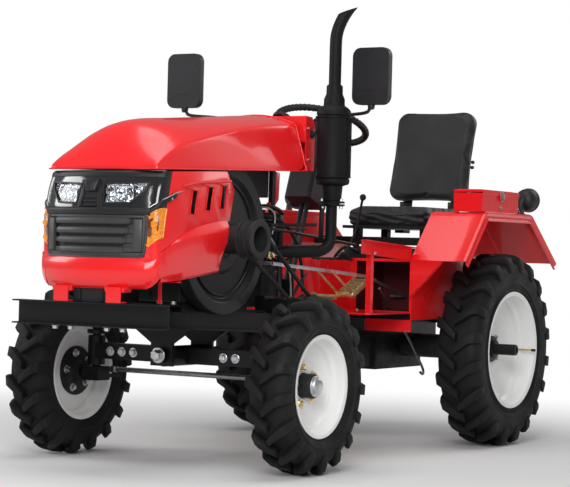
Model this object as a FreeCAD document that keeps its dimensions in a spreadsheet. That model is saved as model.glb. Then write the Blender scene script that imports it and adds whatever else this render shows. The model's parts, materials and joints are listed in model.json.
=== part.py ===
import FreeCAD, Part
import math
import os
import re
import Sketcher

# Mini tractor with an open belt drive: a ladder frame of two sloping channels, a
# horizontal single-cylinder engine beside its own flywheel, a tipping bonnet,
# a driver's platform with two mudguards and four wheels on fixed axles.
# Millimetres; X to the driver's left, -Y ahead, Z up; the ground is Z = 0.

doc = FreeCAD.newDocument("MiniTractor")
V = FreeCAD.Vector
Z_AXIS = V(0, 0, 1)

SIZES = [
    # wheels and axles
    ("front_axle_y", -633, "front axle line"),
    ("rear_axle_y", 759, "rear axle line"),
    ("front_track", 951, "between the middles of the front tyres"),
    ("rear_track", 982, "between the middles of the rear tyres"),
    ("front_tyre_r", 286, "front tyre radius, also the axle height"),
    ("front_tyre_w", 151, "front tyre width"),
    ("front_rim_r", 168, "edge of the front rim"),
    ("front_rim_half", 58, "middle of the front tyre to the rim edge"),
    ("rear_tyre_r", 365, "rear tyre radius, also the axle height"),
    ("rear_tyre_w", 174, "rear tyre width"),
    ("rear_rim_r", 222, "edge of the rear rim"),
    ("rear_rim_half", 81, "middle of the rear tyre to the rim edge"),
    ("rim_wall", 4, "rim metal"),
    ("bead_seat", 9.7, "rim edge down to the tyre's bead"),
    ("running", 0.05, "radial play of a shaft that turns"),
    ("kingpin_x", 366, "steering pivot from the middle plane"),
    ("kingpin_r", 15, "kingpin radius"),
    ("boss_r", 30, "kingpin boss on the axle"),
    ("beam_low", 334, "underside of the axle tube"),
    ("beam_high", 388, "top of the axle tube"),
    ("beam_deep", 54, "axle tube, front to back"),
    ("stub_r", 15, "front stub axle radius"),
    ("arm_reach", 105, "kingpin to tie rod pin"),
    ("rear_shaft_r", 21, "rear axle shaft radius"),
    ("rear_shaft_end", 585, "end of the rear axle shaft"),
    ("rear_tube_end", 392, "end of the rear axle tube"),
    # frame
    ("frame_front", -1156, "front end of the rails"),
    ("frame_rear", 1010, "rear end of the rails"),
    ("rail_front_low", 472.3, "underside of a rail at its front end"),
    ("rail_rear_low", 375.3, "underside of a rail at its rear end"),
    ("rail_high", 76, "channel height"),
    ("rail_in", 110, "inner face of a rail"),
    ("rail_out", 150, "edge of a rail flange"),
    ("rail_wall", 6, "channel wall"),
    ("bed_top", 545, "level engine bed on the rails"),
    ("crossbeam_half", 291, "half the length of the front crossbeam"),
    ("crossbeam_front", -1196, "flange edges of the crossbeam"),
    ("crossbeam_low", 468, "underside of the crossbeam"),
    ("crossbeam_wall", 5, "crossbeam channel wall"),
    # engine and belt drive
    ("block_half", 140, "half the width of the engine"),
    ("block_front", -883, "front of the engine"),
    ("block_rear", -483, "back of the crankcase"),
    ("block_top", 900, "top of the crankcase"),
    ("crank_y", -713, "crankshaft line"),
    ("crank_z", 754, "crankshaft line"),
    ("crank_r", 25, "crankshaft end radius"),
    ("crank_end", 262, "end of the crankshaft"),
    ("wheel_in", 157, "inner face of the flywheel"),
    ("wheel_out", 201, "outer face of the flywheel"),
    ("flywheel_r", 248, "flywheel radius"),
    ("hub_face", 207, "outer face of the flywheel's hub"),
    ("pulley_in", 275, "inner face of the belt pulley"),
    ("pulley_out", 336, "outer face of the belt pulley"),
    ("pulley_r", 65, "belt pulley radius"),
    ("pulley_bore_r", 42, "open middle of the belt pulley"),
    ("belt_in", 288, "inner edge of the belts"),
    ("belt_out", 322, "outer edge of the belts"),
    ("belt_thick", 8, "belt thickness"),
    ("groove_deep", 9, "depth of the belt track in a pulley"),
    ("driven_y", -346, "driven pulley line"),
    ("driven_z", 529, "driven pulley line"),
    ("driven_r", 46, "driven pulley radius"),
    ("driven_shaft_r", 12, "driven pulley shaft"),
    # bodywork
    ("skin", 3, "sheet metal"),
    ("nose_low", 588, "bottom of the nose"),
    ("nose_half", 224, "half the width of the nose"),
    ("nose_back", -1062, "back edge of the nose at its top"),
    ("nose_seam", -1112, "back edge of the nose at its foot"),
    ("band_low", 826, "bottom of the lamp band"),
    ("band_high", 957, "top of the lamp band"),
    ("bonnet_rear", -231, "back edge of the bonnet"),
    ("bonnet_rear_low", 998, "bottom of the bonnet side at the back"),
    ("hinge_y", -260, "bonnet hinge line"),
    ("hinge_z", 1165, "bonnet hinge line"),
    ("hinge_pin_r", 5, "bonnet hinge pin radius"),
    ("cowl_front", -212, "front face of the dash cowl"),
    ("lid_hinge_x", 421, "tool box hinge line"),
    ("lid_hinge_z", 957, "tool box hinge line"),
    ("lid_pin_r", 3, "tool box hinge pin radius"),
    # driver's place
    ("floor_z", 505, "top of the platform"),
    ("fender_in", 340, "inner side of a mudguard"),
    ("fender_out", 570, "outer edge of a mudguard"),
    ("fender_top", 885, "top of a mudguard"),
    ("steer_y", 242, "middle of the steering wheel"),
    ("steer_z", 1190, "middle of the steering wheel"),
    ("steer_wheel_r", 168, "steering wheel, to the middle of its rim"),
    ("steer_grip_r", 12, "steering wheel rim section"),
    ("steer_tilt", 20, "lean of the steering column, degrees"),
    ("seat_half", 190, "half the width of the seat"),
    ("seat_front", 757, "front of the seat cushion"),
    ("seat_rear", 1147, "back of the seat cushion"),
    ("seat_low", 830, "underside of the seat cushion"),
    ("seat_high", 896, "top of the seat cushion"),
    ("muffler_x", 280, "muffler line"),
    ("muffler_y", -158, "muffler line"),
    ("muffler_r", 57, "muffler radius"),
    ("muffler_low", 954, "bottom of the muffler"),
    ("muffler_high", 1222, "top of the muffler"),
    ("pipe_r", 20, "exhaust pipe radius"),
    ("stack_top", 1580, "tip of the exhaust stack"),
    ("pin_hole_r", 11, "drawbar pin hole"),
]

sheet = doc.addObject("Spreadsheet::Sheet", "Sizes")
for row, (alias, value, note) in enumerate(SIZES, start=1):
    sheet.set("A%d" % row, note)
    sheet.set("B%d" % row, str(value))
    sheet.setAlias("B%d" % row, alias)
doc.recompute()
NAMES = {alias for alias, value, note in SIZES}
nodes = []


def size(alias):
    """The number now in the sheet."""
    return float(sheet.get(alias))


def formula(value):
    """A property formula: every size name is looked up in the sheet."""
    def in_sheet(match):
        word = match.group(0)
        return "Sizes." + word if word in NAMES else word
    return re.sub(r"[A-Za-z_]\w*", in_sheet, str(value))


def bind(thing, prop, value):
    thing.setExpression(prop, formula(value))


def place(thing, x=0, y=0, z=0):
    for axis, value in (("x", x), ("y", y), ("z", z)):
        bind(thing, "Placement.Base." + axis, value)
    return thing


def node(name, thing):
    """Keep a finished sub-part under the name it is exported with."""
    thing.Label = name
    nodes.append((name, thing))
    return thing


def box(x, y, z):
    """A block between a low and a high face on each axis."""
    block = doc.addObject("Part::Box", "Block")
    for side, (low, high) in (("Length", x), ("Width", y), ("Height", z)):
        bind(block, side, "(%s) - (%s)" % (high, low))
    return place(block, x[0], y[0], z[0])


TURNS = {
    "X": FreeCAD.Rotation(V(0, 1, 0), 90),
    "Y": FreeCAD.Rotation(V(1, 0, 0), -90),
    "Z": FreeCAD.Rotation(),
}


def rod(axis, radius, x, y, z, length):
    """A round bar that starts at x, y, z and runs along an axis."""
    bar = doc.addObject("Part::Cylinder", "Bar")
    bar.Placement = FreeCAD.Placement(V(0, 0, 0), TURNS[axis])
    bind(bar, "Radius", radius)
    bind(bar, "Height", length)
    return place(bar, x, y, z)


def shaped(name, shape):
    """A shape worked out in code from the sizes in the sheet."""
    thing = doc.addObject("Part::Feature", name)
    thing.Shape = shape
    return thing


def tube_run(points, radius):
    """Straight bars with balls at the bends, as one bent round bar."""
    solids = []
    for start, end in zip(points, points[1:]):
        run = end - start
        solids.append(Part.makeCylinder(radius, run.Length, start, run))
    for corner in points[1:-1]:
        solids.append(Part.makeSphere(radius, corner))
    return solids[0].multiFuse(solids[1:]).removeSplitter() if len(solids) > 1 else solids[0]


def fuse(*things):
    whole = doc.addObject("Part::MultiFuse", "Joined")
    whole.Shapes = list(things)
    whole.Refine = True
    return whole


def cut(base, *tools):
    less = doc.addObject("Part::Cut", "Less")
    less.Base = base
    less.Tool = tools[0] if len(tools) == 1 else fuse(*tools)
    return less


def mirrored(thing):
    """The same piece on the other side of the tractor."""
    copy = doc.addObject("Part::Mirroring", "Other")
    copy.Source = thing
    copy.Normal = V(1, 0, 0)
    return copy


def pair(thing):
    """A piece and its mirror image, in one node."""
    return fuse(thing, mirrored(thing))


def sketch_in(body, plane, loops, offset=0):
    """A sketch of closed outlines; every corner is tied to sizes."""
    sketch = body.newObject("Sketcher::SketchObject", "Outline")
    origin = [part for part in body.Origin.OriginFeatures if part.Role == plane]
    sketch.AttachmentSupport = [(origin[0], "")]
    sketch.MapMode = "FlatFace"
    if offset:
        bind(sketch, "AttachmentOffset.Base.z", offset)
    for loop in loops:
        first = sketch.GeometryCount
        count = len(loop)
        for i in range(count):
            angle = [2 * math.pi * (i + step) / count for step in (0, 1)]
            start, end = [V(100 * math.cos(turn), 100 * math.sin(turn), 0) for turn in angle]
            sketch.addGeometry(Part.LineSegment(start, end), False)
        for i in range(count):
            sketch.addConstraint(Sketcher.Constraint(
                "Coincident", first + i, 2, first + (i + 1) % count, 1))
        for i, corner in enumerate(loop):
            for kind, value, axis in zip(("DistanceX", "DistanceY"), corner, (-2, -1)):
                if value == 0:
                    sketch.addConstraint(Sketcher.Constraint("PointOnObject", first + i, 1, axis))
                    continue
                number = sketch.addConstraint(Sketcher.Constraint(kind, -1, 1, first + i, 1, 1.0))
                bind(sketch, "Constraints[%d]" % number, value)
    return sketch


def prism(plane, loops, start, end):
    """Outlines on an origin plane, made solid between two distances from it."""
    body = doc.addObject("PartDesign::Body", "Body")
    sketch = sketch_in(body, plane, loops, start)
    pad = body.newObject("PartDesign::Pad", "Pad")
    pad.Profile = sketch
    bind(pad, "Length", "(%s) - (%s)" % (end, start))
    body.Tip = pad
    return body


def prism_x(loop, low, high):
    """An outline of (y, z) corners between two x faces."""
    return prism("YZ_Plane", [loop], low, high)


def prism_y(loop, low, high):
    """An outline of (x, z) corners between two y faces."""
    return prism("XZ_Plane", [loop], "-(%s)" % high, "-(%s)" % low)


def lathe(loop):
    """An outline of (x, radius) corners turned about the X axis."""
    body = doc.addObject("PartDesign::Body", "Turned")
    sketch = sketch_in(body, "XY_Plane", [loop])
    turned = body.newObject("PartDesign::Revolution", "Revolution")
    turned.Profile = sketch
    turned.ReferenceAxis = (sketch, ["H_Axis"])
    turned.Angle = 360
    body.Tip = turned
    return body


def rounded(thing, radius, chosen):
    """Round the edges that a test picks out."""
    doc.recompute()
    soft = doc.addObject("Part::Fillet", "Rounded")
    soft.Base = thing
    soft.Edges = [
        (number, radius, radius)
        for number, edge in enumerate(thing.Shape.Edges, start=1)
        if chosen(edge)
    ]
    return soft


def along(axis):
    """A test for straight edges that run along an axis."""
    def test(edge):
        if not isinstance(edge.Curve, Part.Line):
            return False
        return abs(abs(edge.Curve.Direction.dot(axis)) - 1) < 0.001
    return test


# ---------------------------------------------------------------- frame

def rail():
    """The left rail: a channel with its flanges outward, lower at the back."""
    def outline(shrink):
        return [
            ("frame_front", "rail_front_low + %s" % shrink),
            ("frame_rear", "rail_rear_low + %s" % shrink),
            ("frame_rear", "rail_rear_low + rail_high - %s" % shrink),
            ("frame_front", "rail_front_low + rail_high - %s" % shrink),
        ]
    whole = prism_x(outline(0), "rail_in", "rail_out")
    hollow = prism_x(outline("rail_wall"), "rail_in + rail_wall", "rail_out + 1")
    return cut(whole, hollow)


def pivot_plate(front):
    """A hanger for the front axle pin."""
    wide = 43
    loop = [
        ("-rail_in", 450), ("-wide", 405), ("-wide", 330), ("wide", 330),
        ("wide", 405), ("rail_in", 450), ("rail_in", 500), ("-rail_in", 500),
    ]
    loop = [tuple(str(v).replace("wide", str(wide)) for v in corner) for corner in loop]
    plate = prism_y(loop, front, front + 12)
    hole = rod("Y", "kingpin_r + running", 0, front - 1, "(beam_low + beam_high) / 2", 14)
    return cut(plate, hole)


def clutch_stand():
    """Bearing stand on the left rail with the driven shaft."""
    stand = box((112, 150), ("driven_y - 32", "driven_y + 32"), (505, "driven_z + 34"))
    barrel = rod("X", 26, 150, "driven_y", "driven_z", 90)
    shaft = rod("X", "driven_shaft_r", 150, "driven_y", "driven_z", "belt_out - 150 + 5")
    return fuse(stand, barrel, shaft)


def main_frame():
    """Rails, cross members, axle hangers, engine bed and the two cowl posts."""
    cross = [
        box(("-rail_in", "rail_in"), (-1150, -1000), (538, "bed_top")),
        box(("-rail_in", "rail_in"), (-235, -160), (440, 475)),
        box(("-rail_in", "rail_in"), (-60, 50), (425, 440)),
        box(("-fender_in", "fender_in"), (345, 385), (476, "floor_z - 5")),
        box(("-fender_in", "fender_in"), (900, 940), (450, 480)),
        box(("-rail_in", "rail_in"), ("frame_rear - 12", "frame_rear"), (384, 448)),
    ]
    bed = pair(box((114, 148), ("block_front + 3", "block_rear - 3"), (513, "bed_top")))
    posts = pair(box((52, 68), ("cowl_front + 3", "cowl_front + 23"), (474, 1180)))
    return fuse(pair(rail()), pivot_plate(-773), pivot_plate(-535), bed, posts, clutch_stand(), *cross)


def front_crossbeam():
    half = "crossbeam_half"
    whole = box(("-" + half, half), ("crossbeam_front", "frame_front"),
                ("crossbeam_low", "crossbeam_low + rail_high"))
    hollow = box(("-%s - 1" % half, "%s + 1" % half),
                 ("crossbeam_front - 1", "frame_front - crossbeam_wall"),
                 ("crossbeam_low + crossbeam_wall", "crossbeam_low + rail_high - crossbeam_wall"))
    return cut(whole, hollow)


def nose_brackets():
    """Two angle brackets that stand on the crossbeam and carry the nose."""
    low = "crossbeam_low + rail_high"
    side = fuse(box((73, 129), (-1192, -1187), (low, "nose_low + 6")),
                box((73, 129), (-1192, -1158), (low, low + " + 5")))
    return pair(side)


def battery_box():
    base = "bed_top"
    case = box((-68, 68), (-1170, -1006), (base, 640))
    ribs = [box((x, x + 6), (-1171, -1003), (base + " + 8", 632)) for x in range(-62, 60, 14)]
    posts = [rod("Z", 8, x, -1040, 640, 10) for x in (-45, 45)]
    return fuse(case, *ribs, *posts)


def drawbar():
    """A flat plate behind the frame with the hole for a hitch pin."""
    plate = box((-45, 45), ("frame_rear - 90", "frame_rear + 110"), (372, 384))
    hole = rod("Z", "pin_hole_r", 0, "frame_rear + 75", 371, 14)
    return cut(plate, hole)


# ---------------------------------------------------------- front axle

AXLE_MID = "(beam_low + beam_high) / 2"


def front_axle_beam():
    bar = box(("-kingpin_x", "kingpin_x"),
              ("front_axle_y - beam_deep / 2", "front_axle_y + beam_deep / 2"),
              ("beam_low", "beam_high"))
    sleeve = rod("Y", 34, 0, -758, AXLE_MID, 220)
    pin = rod("Y", "kingpin_r", 0, -790, AXLE_MID, 284)
    boss = rod("Z", "boss_r", "kingpin_x", "front_axle_y", 312, 100)
    bore = rod("Z", "kingpin_r + running", "kingpin_x", "front_axle_y", 300, 130)
    return cut(fuse(bar, sleeve, pin, pair(boss)), pair(bore))


def knuckle():
    """Kingpin with its yoke, stub axle and steering arm, on the left."""
    pin = rod("Z", "kingpin_r", "kingpin_x", "front_axle_y", 300, 145)
    cap = rod("Z", 34, "kingpin_x", "front_axle_y", 418, 14)
    yoke = box(("kingpin_x - 34", "kingpin_x + 36"), ("front_axle_y - 34", "front_axle_y + 34"),
               (258, 305))
    stub = rod("X", "stub_r", "kingpin_x + 20", "front_axle_y", "front_tyre_r",
               "front_track / 2 - kingpin_x + 4")
    arm = box(("kingpin_x - 16", "kingpin_x + 12"),
              ("front_axle_y + 20", "front_axle_y + arm_reach + 14"), (264, 276))
    return fuse(pin, cap, yoke, stub, arm)


def knuckle_left():
    pin = rod("Z", 6, "kingpin_x", "front_axle_y + arm_reach", 270, 34)
    return fuse(knuckle(), pin)


def knuckle_right():
    return mirrored(knuckle_left())


def tie_rod():
    """The rod between the steering arms, with an eye at each end."""
    y = "front_axle_y + arm_reach"
    bar = rod("X", 9, "-kingpin_x", y, 291, "2 * kingpin_x")
    eyes = [rod("Z", 15, x, y, 281, 20) for x in ("kingpin_x", "-kingpin_x")]
    near = rod("Z", "6 + running", "kingpin_x", y, 280, 22)
    far = rod("Z", 8.5, "-kingpin_x", y, 280, 22)
    return cut(fuse(bar, *eyes), near, far)


# -------------------------------------------------------------- wheels

def tyre(end):
    """A closed tyre section turned about the axle, seated between the rim edges."""
    radius, half, rim = end + "_tyre_r", end + "_tyre_w / 2", end + "_rim_r"
    bead = end + "_rim_half - 8"
    right = [
        (bead, rim + " - bead_seat"), (bead, rim + " + 2"), (half + " * 0.86", rim + " + 14"),
        (half, "(%s + %s) / 2 + 14" % (radius, rim)), (half, radius + " - 42"),
        (half + " - 6", radius + " - 16"), (half + " - 22", radius + " - 3"),
        (half + " - 44", radius),
    ]
    left = [("-(%s)" % across, out) for across, out in right]
    return lathe(left + right[::-1])


def front_rim():
    """White disc wheel; the outer side is +X."""
    half = "front_rim_half"
    edge = "front_rim_r"
    wall = "rim_wall"
    return lathe([
        ("-" + half, edge), ("-%s + 4" % half, edge), ("-%s + 7" % half, edge + " - 10"),
        ("-26", edge + " - 12"), ("-20", edge + " - 26"), ("14", edge + " - 26"),
        ("22", edge + " - 12"), ("%s - 7" % half, edge + " - 10"),
        ("%s - 4" % half, edge), (half, edge), (half, edge + " - " + wall),
        ("%s - 3" % half, edge + " - 16"), ("26", edge + " - 18"),
        ("15", edge + " - 26 - " + wall), ("2", edge + " - 26 - " + wall),
        ("-10", 108), ("-14", 84), ("-14", 40), ("-18", 40), ("-18", 86), ("-15", 111),
        ("-4", edge + " - 26 - " + wall), ("-22", edge + " - 26 - " + wall),
        ("-29", edge + " - 18"), ("-%s + 3" % half, edge + " - 16"),
        ("-" + half, edge + " - " + wall),
    ])


def front_hub():
    """Bearing hub with its flange behind the disc and a domed cap."""
    bore = "stub_r + running"
    return lathe([
        ("-58", bore), ("-58", 34), ("-28", 36), ("-28", 85), ("-18", 85), ("-18", 39.7),
        ("32", 39.7), ("34", 30), ("42", 27), ("48", 16), ("50", 0), ("30", 0), ("30", bore),
    ])


def rear_rim():
    half = "rear_rim_half"
    edge = "rear_rim_r"
    wall = "rim_wall"
    return lathe([
        ("-" + half, edge), ("-%s + 4" % half, edge), ("-%s + 8" % half, edge + " - 10"),
        ("-36", edge + " - 13"), ("-28", edge + " - 28"), ("16", edge + " - 28"),
        ("24", edge + " - 13"), ("%s - 8" % half, edge + " - 10"),
        ("%s - 4" % half, edge), (half, edge), (half, edge + " - " + wall),
        ("%s - 4" % half, edge + " - 17"), ("28", edge + " - 19"),
        ("18", edge + " - 28 - " + wall), ("6", edge + " - 28 - " + wall),
        ("-14", 150), ("-20", 118), ("-20", 52), ("-24", 52), ("-24", 120), ("-18", 153),
        ("0", edge + " - 28 - " + wall), ("-30", edge + " - 28 - " + wall),
        ("-39", edge + " - 19"), ("-%s + 4" % half, edge + " - 17"),
        ("-" + half, edge + " - " + wall),
    ])


def rear_hub():
    """Axle shaft with the flange that the wheel is bolted to."""
    middle = "rear_track / 2"
    inner = "250 - " + middle
    outer = "rear_shaft_end - " + middle
    return lathe([
        (inner, 0), (inner, "rear_shaft_r"), ("-62", "rear_shaft_r"), ("-62", 42),
        ("-36", 42), ("-36", 85), ("-24", 85), ("-24", 50), ("-4", 50), ("-4", 34),
        ("8", 34), ("8", "rear_shaft_r"), (outer, "rear_shaft_r"), (outer, 0),
    ])


def on_axle(thing, side, track, y, z):
    """Put a wheel piece on its axle; on the right it faces the other way."""
    if side < 0:
        thing.Placement = FreeCAD.Placement(V(0, 0, 0), FreeCAD.Rotation(Z_AXIS, 180))
    return place(thing, "%d * %s / 2" % (side, track), y, z)


def wheels():
    for side, word in ((1, "left"), (-1, "right")):
        front = (side, "front_track", "front_axle_y", "front_tyre_r")
        rear = (side, "rear_track", "rear_axle_y", "rear_tyre_r")
        pieces = (
            ("front_tyre_", tyre("front"), front),
            ("front_wheel_", fuse(front_rim(), front_hub()), front),
            ("rear_tyre_", tyre("rear"), rear),
            ("rear_wheel_", fuse(rear_rim(), rear_hub()), rear),
        )
        for name, thing, where in pieces:
            node(name + word, on_axle(thing, *where))


def rear_transaxle():
    """Gearbox between the rails with the two rear axle tubes."""
    case = box((-95, 95), (217, 520), (285, 450))
    drive = box((-105, 105), (520, 900), (275, 440))
    tubes = rod("X", 46, "-rear_tube_end", "rear_axle_y", "rear_tyre_r", "2 * rear_tube_end")
    bores = [
        rod("X", "rear_shaft_r + running", x, "rear_axle_y", "rear_tyre_r", 160)
        for x in (240, -400)
    ]
    return cut(fuse(case, drive, tubes), *bores)


# -------------------------------------------------------------- engine

def engine_block():
    case = box(("-block_half", "block_half"), ("block_front", "block_rear"),
               ("bed_top", "block_top"))
    case = rounded(case, 30, lambda edge: along(V(1, 0, 0))(edge)
                   and edge.CenterOfMass.z > size("block_top") - 1)
    head = box((-100, 100), ("block_rear", "block_rear + 180"), (640, 860))
    cover = rod("X", 110, "block_half - 1", "crank_y", "crank_z", 8)
    crank = rod("X", "crank_r", "block_half", "crank_y", "crank_z", "crank_end - block_half")
    return fuse(case, head, cover, crank)


def fuel_tank():
    tank = box((-150, 150), (-573, -353), ("block_top", 1052))
    tank = rounded(tank, 24, lambda edge: edge.CenterOfMass.z > size("block_top") + 1)
    neck = rod("Z", 28, 60, -463, 1050, 22)
    return fuse(tank, neck)


def flywheel():
    """Flywheel and its hub, turning on the crankshaft."""
    bore = "crank_r + running"
    wheel = lathe([
        ("wheel_in", bore), ("wheel_in", 62), ("wheel_in + 12", 66),
        ("wheel_in + 12", "flywheel_r - 46"), ("wheel_in", "flywheel_r - 42"),
        ("wheel_in", "flywheel_r"), ("wheel_out", "flywheel_r"),
        ("wheel_out", "flywheel_r - 38"), ("wheel_out - 16", "flywheel_r - 52"),
        ("wheel_out - 20", 118), ("wheel_out - 8", 104), ("wheel_out - 8", 66),
        ("hub_face", 52), ("hub_face", bore),
    ])
    return place(wheel, 0, "crank_y", "crank_z")


def belt_pulley():
    """Open-ended belt pulley on its sleeve, bolted to the flywheel's hub."""
    bore = "crank_r + running"
    track = "pulley_r - groove_deep"
    wheel = lathe([
        ("hub_face", bore), ("hub_face", 50), ("pulley_in", 50), ("pulley_in", "pulley_r"),
        ("belt_in - 4", "pulley_r"), ("belt_in - 4", track), ("belt_out + 4", track),
        ("belt_out + 4", "pulley_r"), ("pulley_out", "pulley_r"),
        ("pulley_out", "pulley_bore_r"), ("pulley_in + 2", "pulley_bore_r"),
        ("pulley_in + 2", 0), ("crank_end + 4", 0), ("crank_end + 4", bore),
    ])
    return place(wheel, 0, "crank_y", "crank_z")


def clutch_pulley():
    bore = "driven_shaft_r + running"
    track = "driven_r - groove_deep"
    wheel = lathe([
        ("belt_in - 8", bore), ("belt_in - 8", "driven_r"), ("belt_in - 4", "driven_r"),
        ("belt_in - 4", track), ("belt_out + 4", track), ("belt_out + 4", "driven_r"),
        ("belt_out + 8", "driven_r"), ("belt_out + 8", 20), ("belt_out + 14", 18),
        ("belt_out + 14", 0), ("belt_out + 6", 0), ("belt_out + 6", bore),
    ])
    return place(wheel, 0, "driven_y", "driven_z")


def belt_loop(grow):
    """The outline of a belt round both pulleys, as a face at the belts' inner edge."""
    big = size("pulley_r") - size("groove_deep") + grow
    small = size("driven_r") - size("groove_deep") + grow
    first = V(size("belt_in"), size("crank_y"), size("crank_z"))
    second = V(size("belt_in"), size("driven_y"), size("driven_z"))
    run = second - first
    lean = math.acos((big - small) / run.Length)
    ahead = math.atan2(run.z, run.y)

    def rim(middle, radius, angle):
        return middle + V(0, radius * math.cos(angle), radius * math.sin(angle))

    corners = [
        rim(first, big, ahead + lean), rim(second, small, ahead + lean),
        rim(second, small, ahead - lean), rim(first, big, ahead - lean),
    ]
    edges = [
        Part.LineSegment(corners[0], corners[1]).toShape(),
        Part.Arc(corners[1], rim(second, small, ahead), corners[2]).toShape(),
        Part.LineSegment(corners[2], corners[3]).toShape(),
        Part.Arc(corners[3], rim(first, big, ahead + math.pi), corners[0]).toShape(),
    ]
    return Part.Face(Part.Wire(edges))


def drive_belts():
    """Three belts side by side, half a millimetre off the pulley tracks."""
    play = 0.5
    wide = size("belt_out") - size("belt_in")
    across = V(wide, 0, 0)
    outer = belt_loop(play + size("belt_thick")).extrude(across)
    inner = belt_loop(play).extrude(across)
    return shaped("DriveBelts", outer.cut(inner))


# ------------------------------------------------------------ bodywork

def nose_outline(z, front, half, inset):
    """The plan of the nose at one height, moved in by an inset."""
    back = size("nose_back")
    side = half - inset
    corner = 26 - inset * 0.5
    shoulder = front + 52 + inset
    mid = front + inset
    inner = side - corner
    points = [
        V(side, back, z), V(side, shoulder + corner, z), V(inner, shoulder, z),
        V(-inner, shoulder, z), V(-side, shoulder + corner, z), V(-side, back, z),
    ]
    slack = corner * (1 - math.sqrt(0.5))
    edges = [
        Part.LineSegment(points[0], points[1]).toShape(),
        Part.Arc(points[1], V(side - slack, shoulder + slack, z), points[2]).toShape(),
        Part.Arc(points[2], V(0, mid, z), points[3]).toShape(),
        Part.Arc(points[3], V(-side + slack, shoulder + slack, z), points[4]).toShape(),
        Part.LineSegment(points[4], points[5]).toShape(),
        Part.LineSegment(points[5], points[0]).toShape(),
    ]
    return Part.Wire(edges)


def nose_solid(inset):
    """The whole volume of the nose; its front leans back towards the top."""
    wide = size("nose_half")
    levels = (
        (size("nose_low") - 10, -1178, wide - 3),
        (640, -1190, wide - 1),
        (700, -1193, wide),
        (size("band_low"), -1190, wide),
        (900, -1176, wide),
        (size("band_high"), -1150, wide - 3),
    )
    wires = [nose_outline(z, front, half, inset) for z, front, half in levels]
    return Part.makeLoft(wires, True, False)


def block_of(loop, low, high):
    """A plain volume of (x, z) corners between two y faces, for cutting in code."""
    corners = [V(x, low, z) for x, z in loop]
    return Part.Face(Part.makePolygon(corners + corners[:1])).extrude(V(0, high - low, 0))


def both_sides(loop, low, high):
    one = block_of(loop, low, high)
    return one.fuse(one.mirror(V(0, 0, 0), V(1, 0, 0)))


def nose_edge():
    """The slanting seam between the nose and the side panels, as (y, z) corners."""
    seam = size("nose_seam")
    return [(seam, 740), (seam + 16, size("band_low")), (size("nose_back"), size("band_high"))]


def ahead_of_seam():
    back = nose_edge()
    loop = [(-1300, 500), (size("nose_seam"), 500)] + back + [(back[-1][0], 1000), (-1300, 1000)]
    corners = [V(-300, y, z) for y, z in loop]
    return Part.Face(Part.makePolygon(corners + corners[:1])).extrude(V(600, 0, 0))


LAMP = ((40, 914), (184, 920), (174, 892), (136, 852), (50, 849))
AMBER = ((176, 734), (194, 722), (240, 762), (240, 848), (190, 818))


def nose_pieces():
    front, back = -1240, size("nose_back") + 40
    grille = ((-184, 690), (184, 690), (190, 820), (-190, 820))
    ahead = ahead_of_seam()
    outer = nose_solid(0).common(ahead)
    shell = outer.cut(nose_solid(size("skin") + 1))
    low = size("band_low")
    red_area = block_of(((-130, size("nose_low")), (130, size("nose_low")), (260, 640),
                         (260, low), (-260, low), (-260, 640)), front, back)
    amber = both_sides(AMBER, front, back)
    hole = block_of(grille, front, back)
    node("nose_panel", shaped("NosePanel", shell.common(red_area).cut(amber).cut(hole)))
    deep = nose_solid(14)
    slats = [Part.makeBox(440, 300, 13, V(-220, front, 703 + 29 * i)) for i in range(4)]
    inside = Part.makeBox(356, 300, 108, V(-178, front, 701))
    rim = nose_solid(-2).cut(deep).common(hole.cut(inside))
    ribs = nose_solid(1).cut(deep).common(hole).common(slats[0].multiFuse(slats[1:]))
    backing = nose_solid(10).cut(deep).common(hole)
    node("grille", shaped("Grille", rim.multiFuse([ribs, backing]).removeSplitter()))
    band_area = block_of(((-260, low), (260, low), (260, 970), (-260, 970)), front, back)
    lamps = both_sides(LAMP, front, back)
    band = outer.cut(nose_solid(8)).common(band_area).cut(lamps).cut(amber)
    node("headlight_band", shaped("HeadlightBand", band))
    node("headlights", shaped("Headlights", nose_solid(1).cut(nose_solid(34)).common(lamps)))
    lens = nose_solid(-1).cut(nose_solid(9)).common(amber).common(ahead).cut(hole)
    node("indicators", shaped("Indicators", lens))


def side_panels():
    """Engine side sheets with three slanted air slots, each on a stay from its rail."""
    loop = [(y, z) for y, z in nose_edge()[::-1]] + [
        ("nose_seam", 612), (-1000, 618), (-788, 645), (-743, 749), (-726, 808),
        (-703, 913), (-748, 972),
    ]
    sheet_metal = prism_x(loop, "nose_half - skin", "nose_half")
    slots = [
        prism_x([(y, z), (y + 22, z), (y + 36, z + 74), (y + 14, z + 74)],
                "nose_half - 10", "nose_half + 10")
        for y, z in ((-960, 828), (-870, 842), (-788, 850))
    ]
    stay = fuse(box((150, "nose_half - skin"), (-1016, -996), (610, 614)),
                box((146, 150), (-1016, -996), (539, 614)))
    round_hub = rod("X", 60, "nose_half - 10", "crank_y", "crank_z", 20)
    return pair(fuse(cut(sheet_metal, *slots, round_hub), stay))


BONNET = (
    # y, half width at the bottom edge, at the shoulder; shoulder and middle heights
    (-1130, 206, 203, 966, 970),
    (-1111, 208, 203, 985, 1000),
    (-1064, 210, 203, 1012, 1061),
    (-985, 212, 203, 1040, 1126),
    (-817, 214, 196, 1078, 1144),
    (-533, 218, 176, 1132, 1168),
    (-231, 220, 170, 1161, 1195),
)


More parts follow.
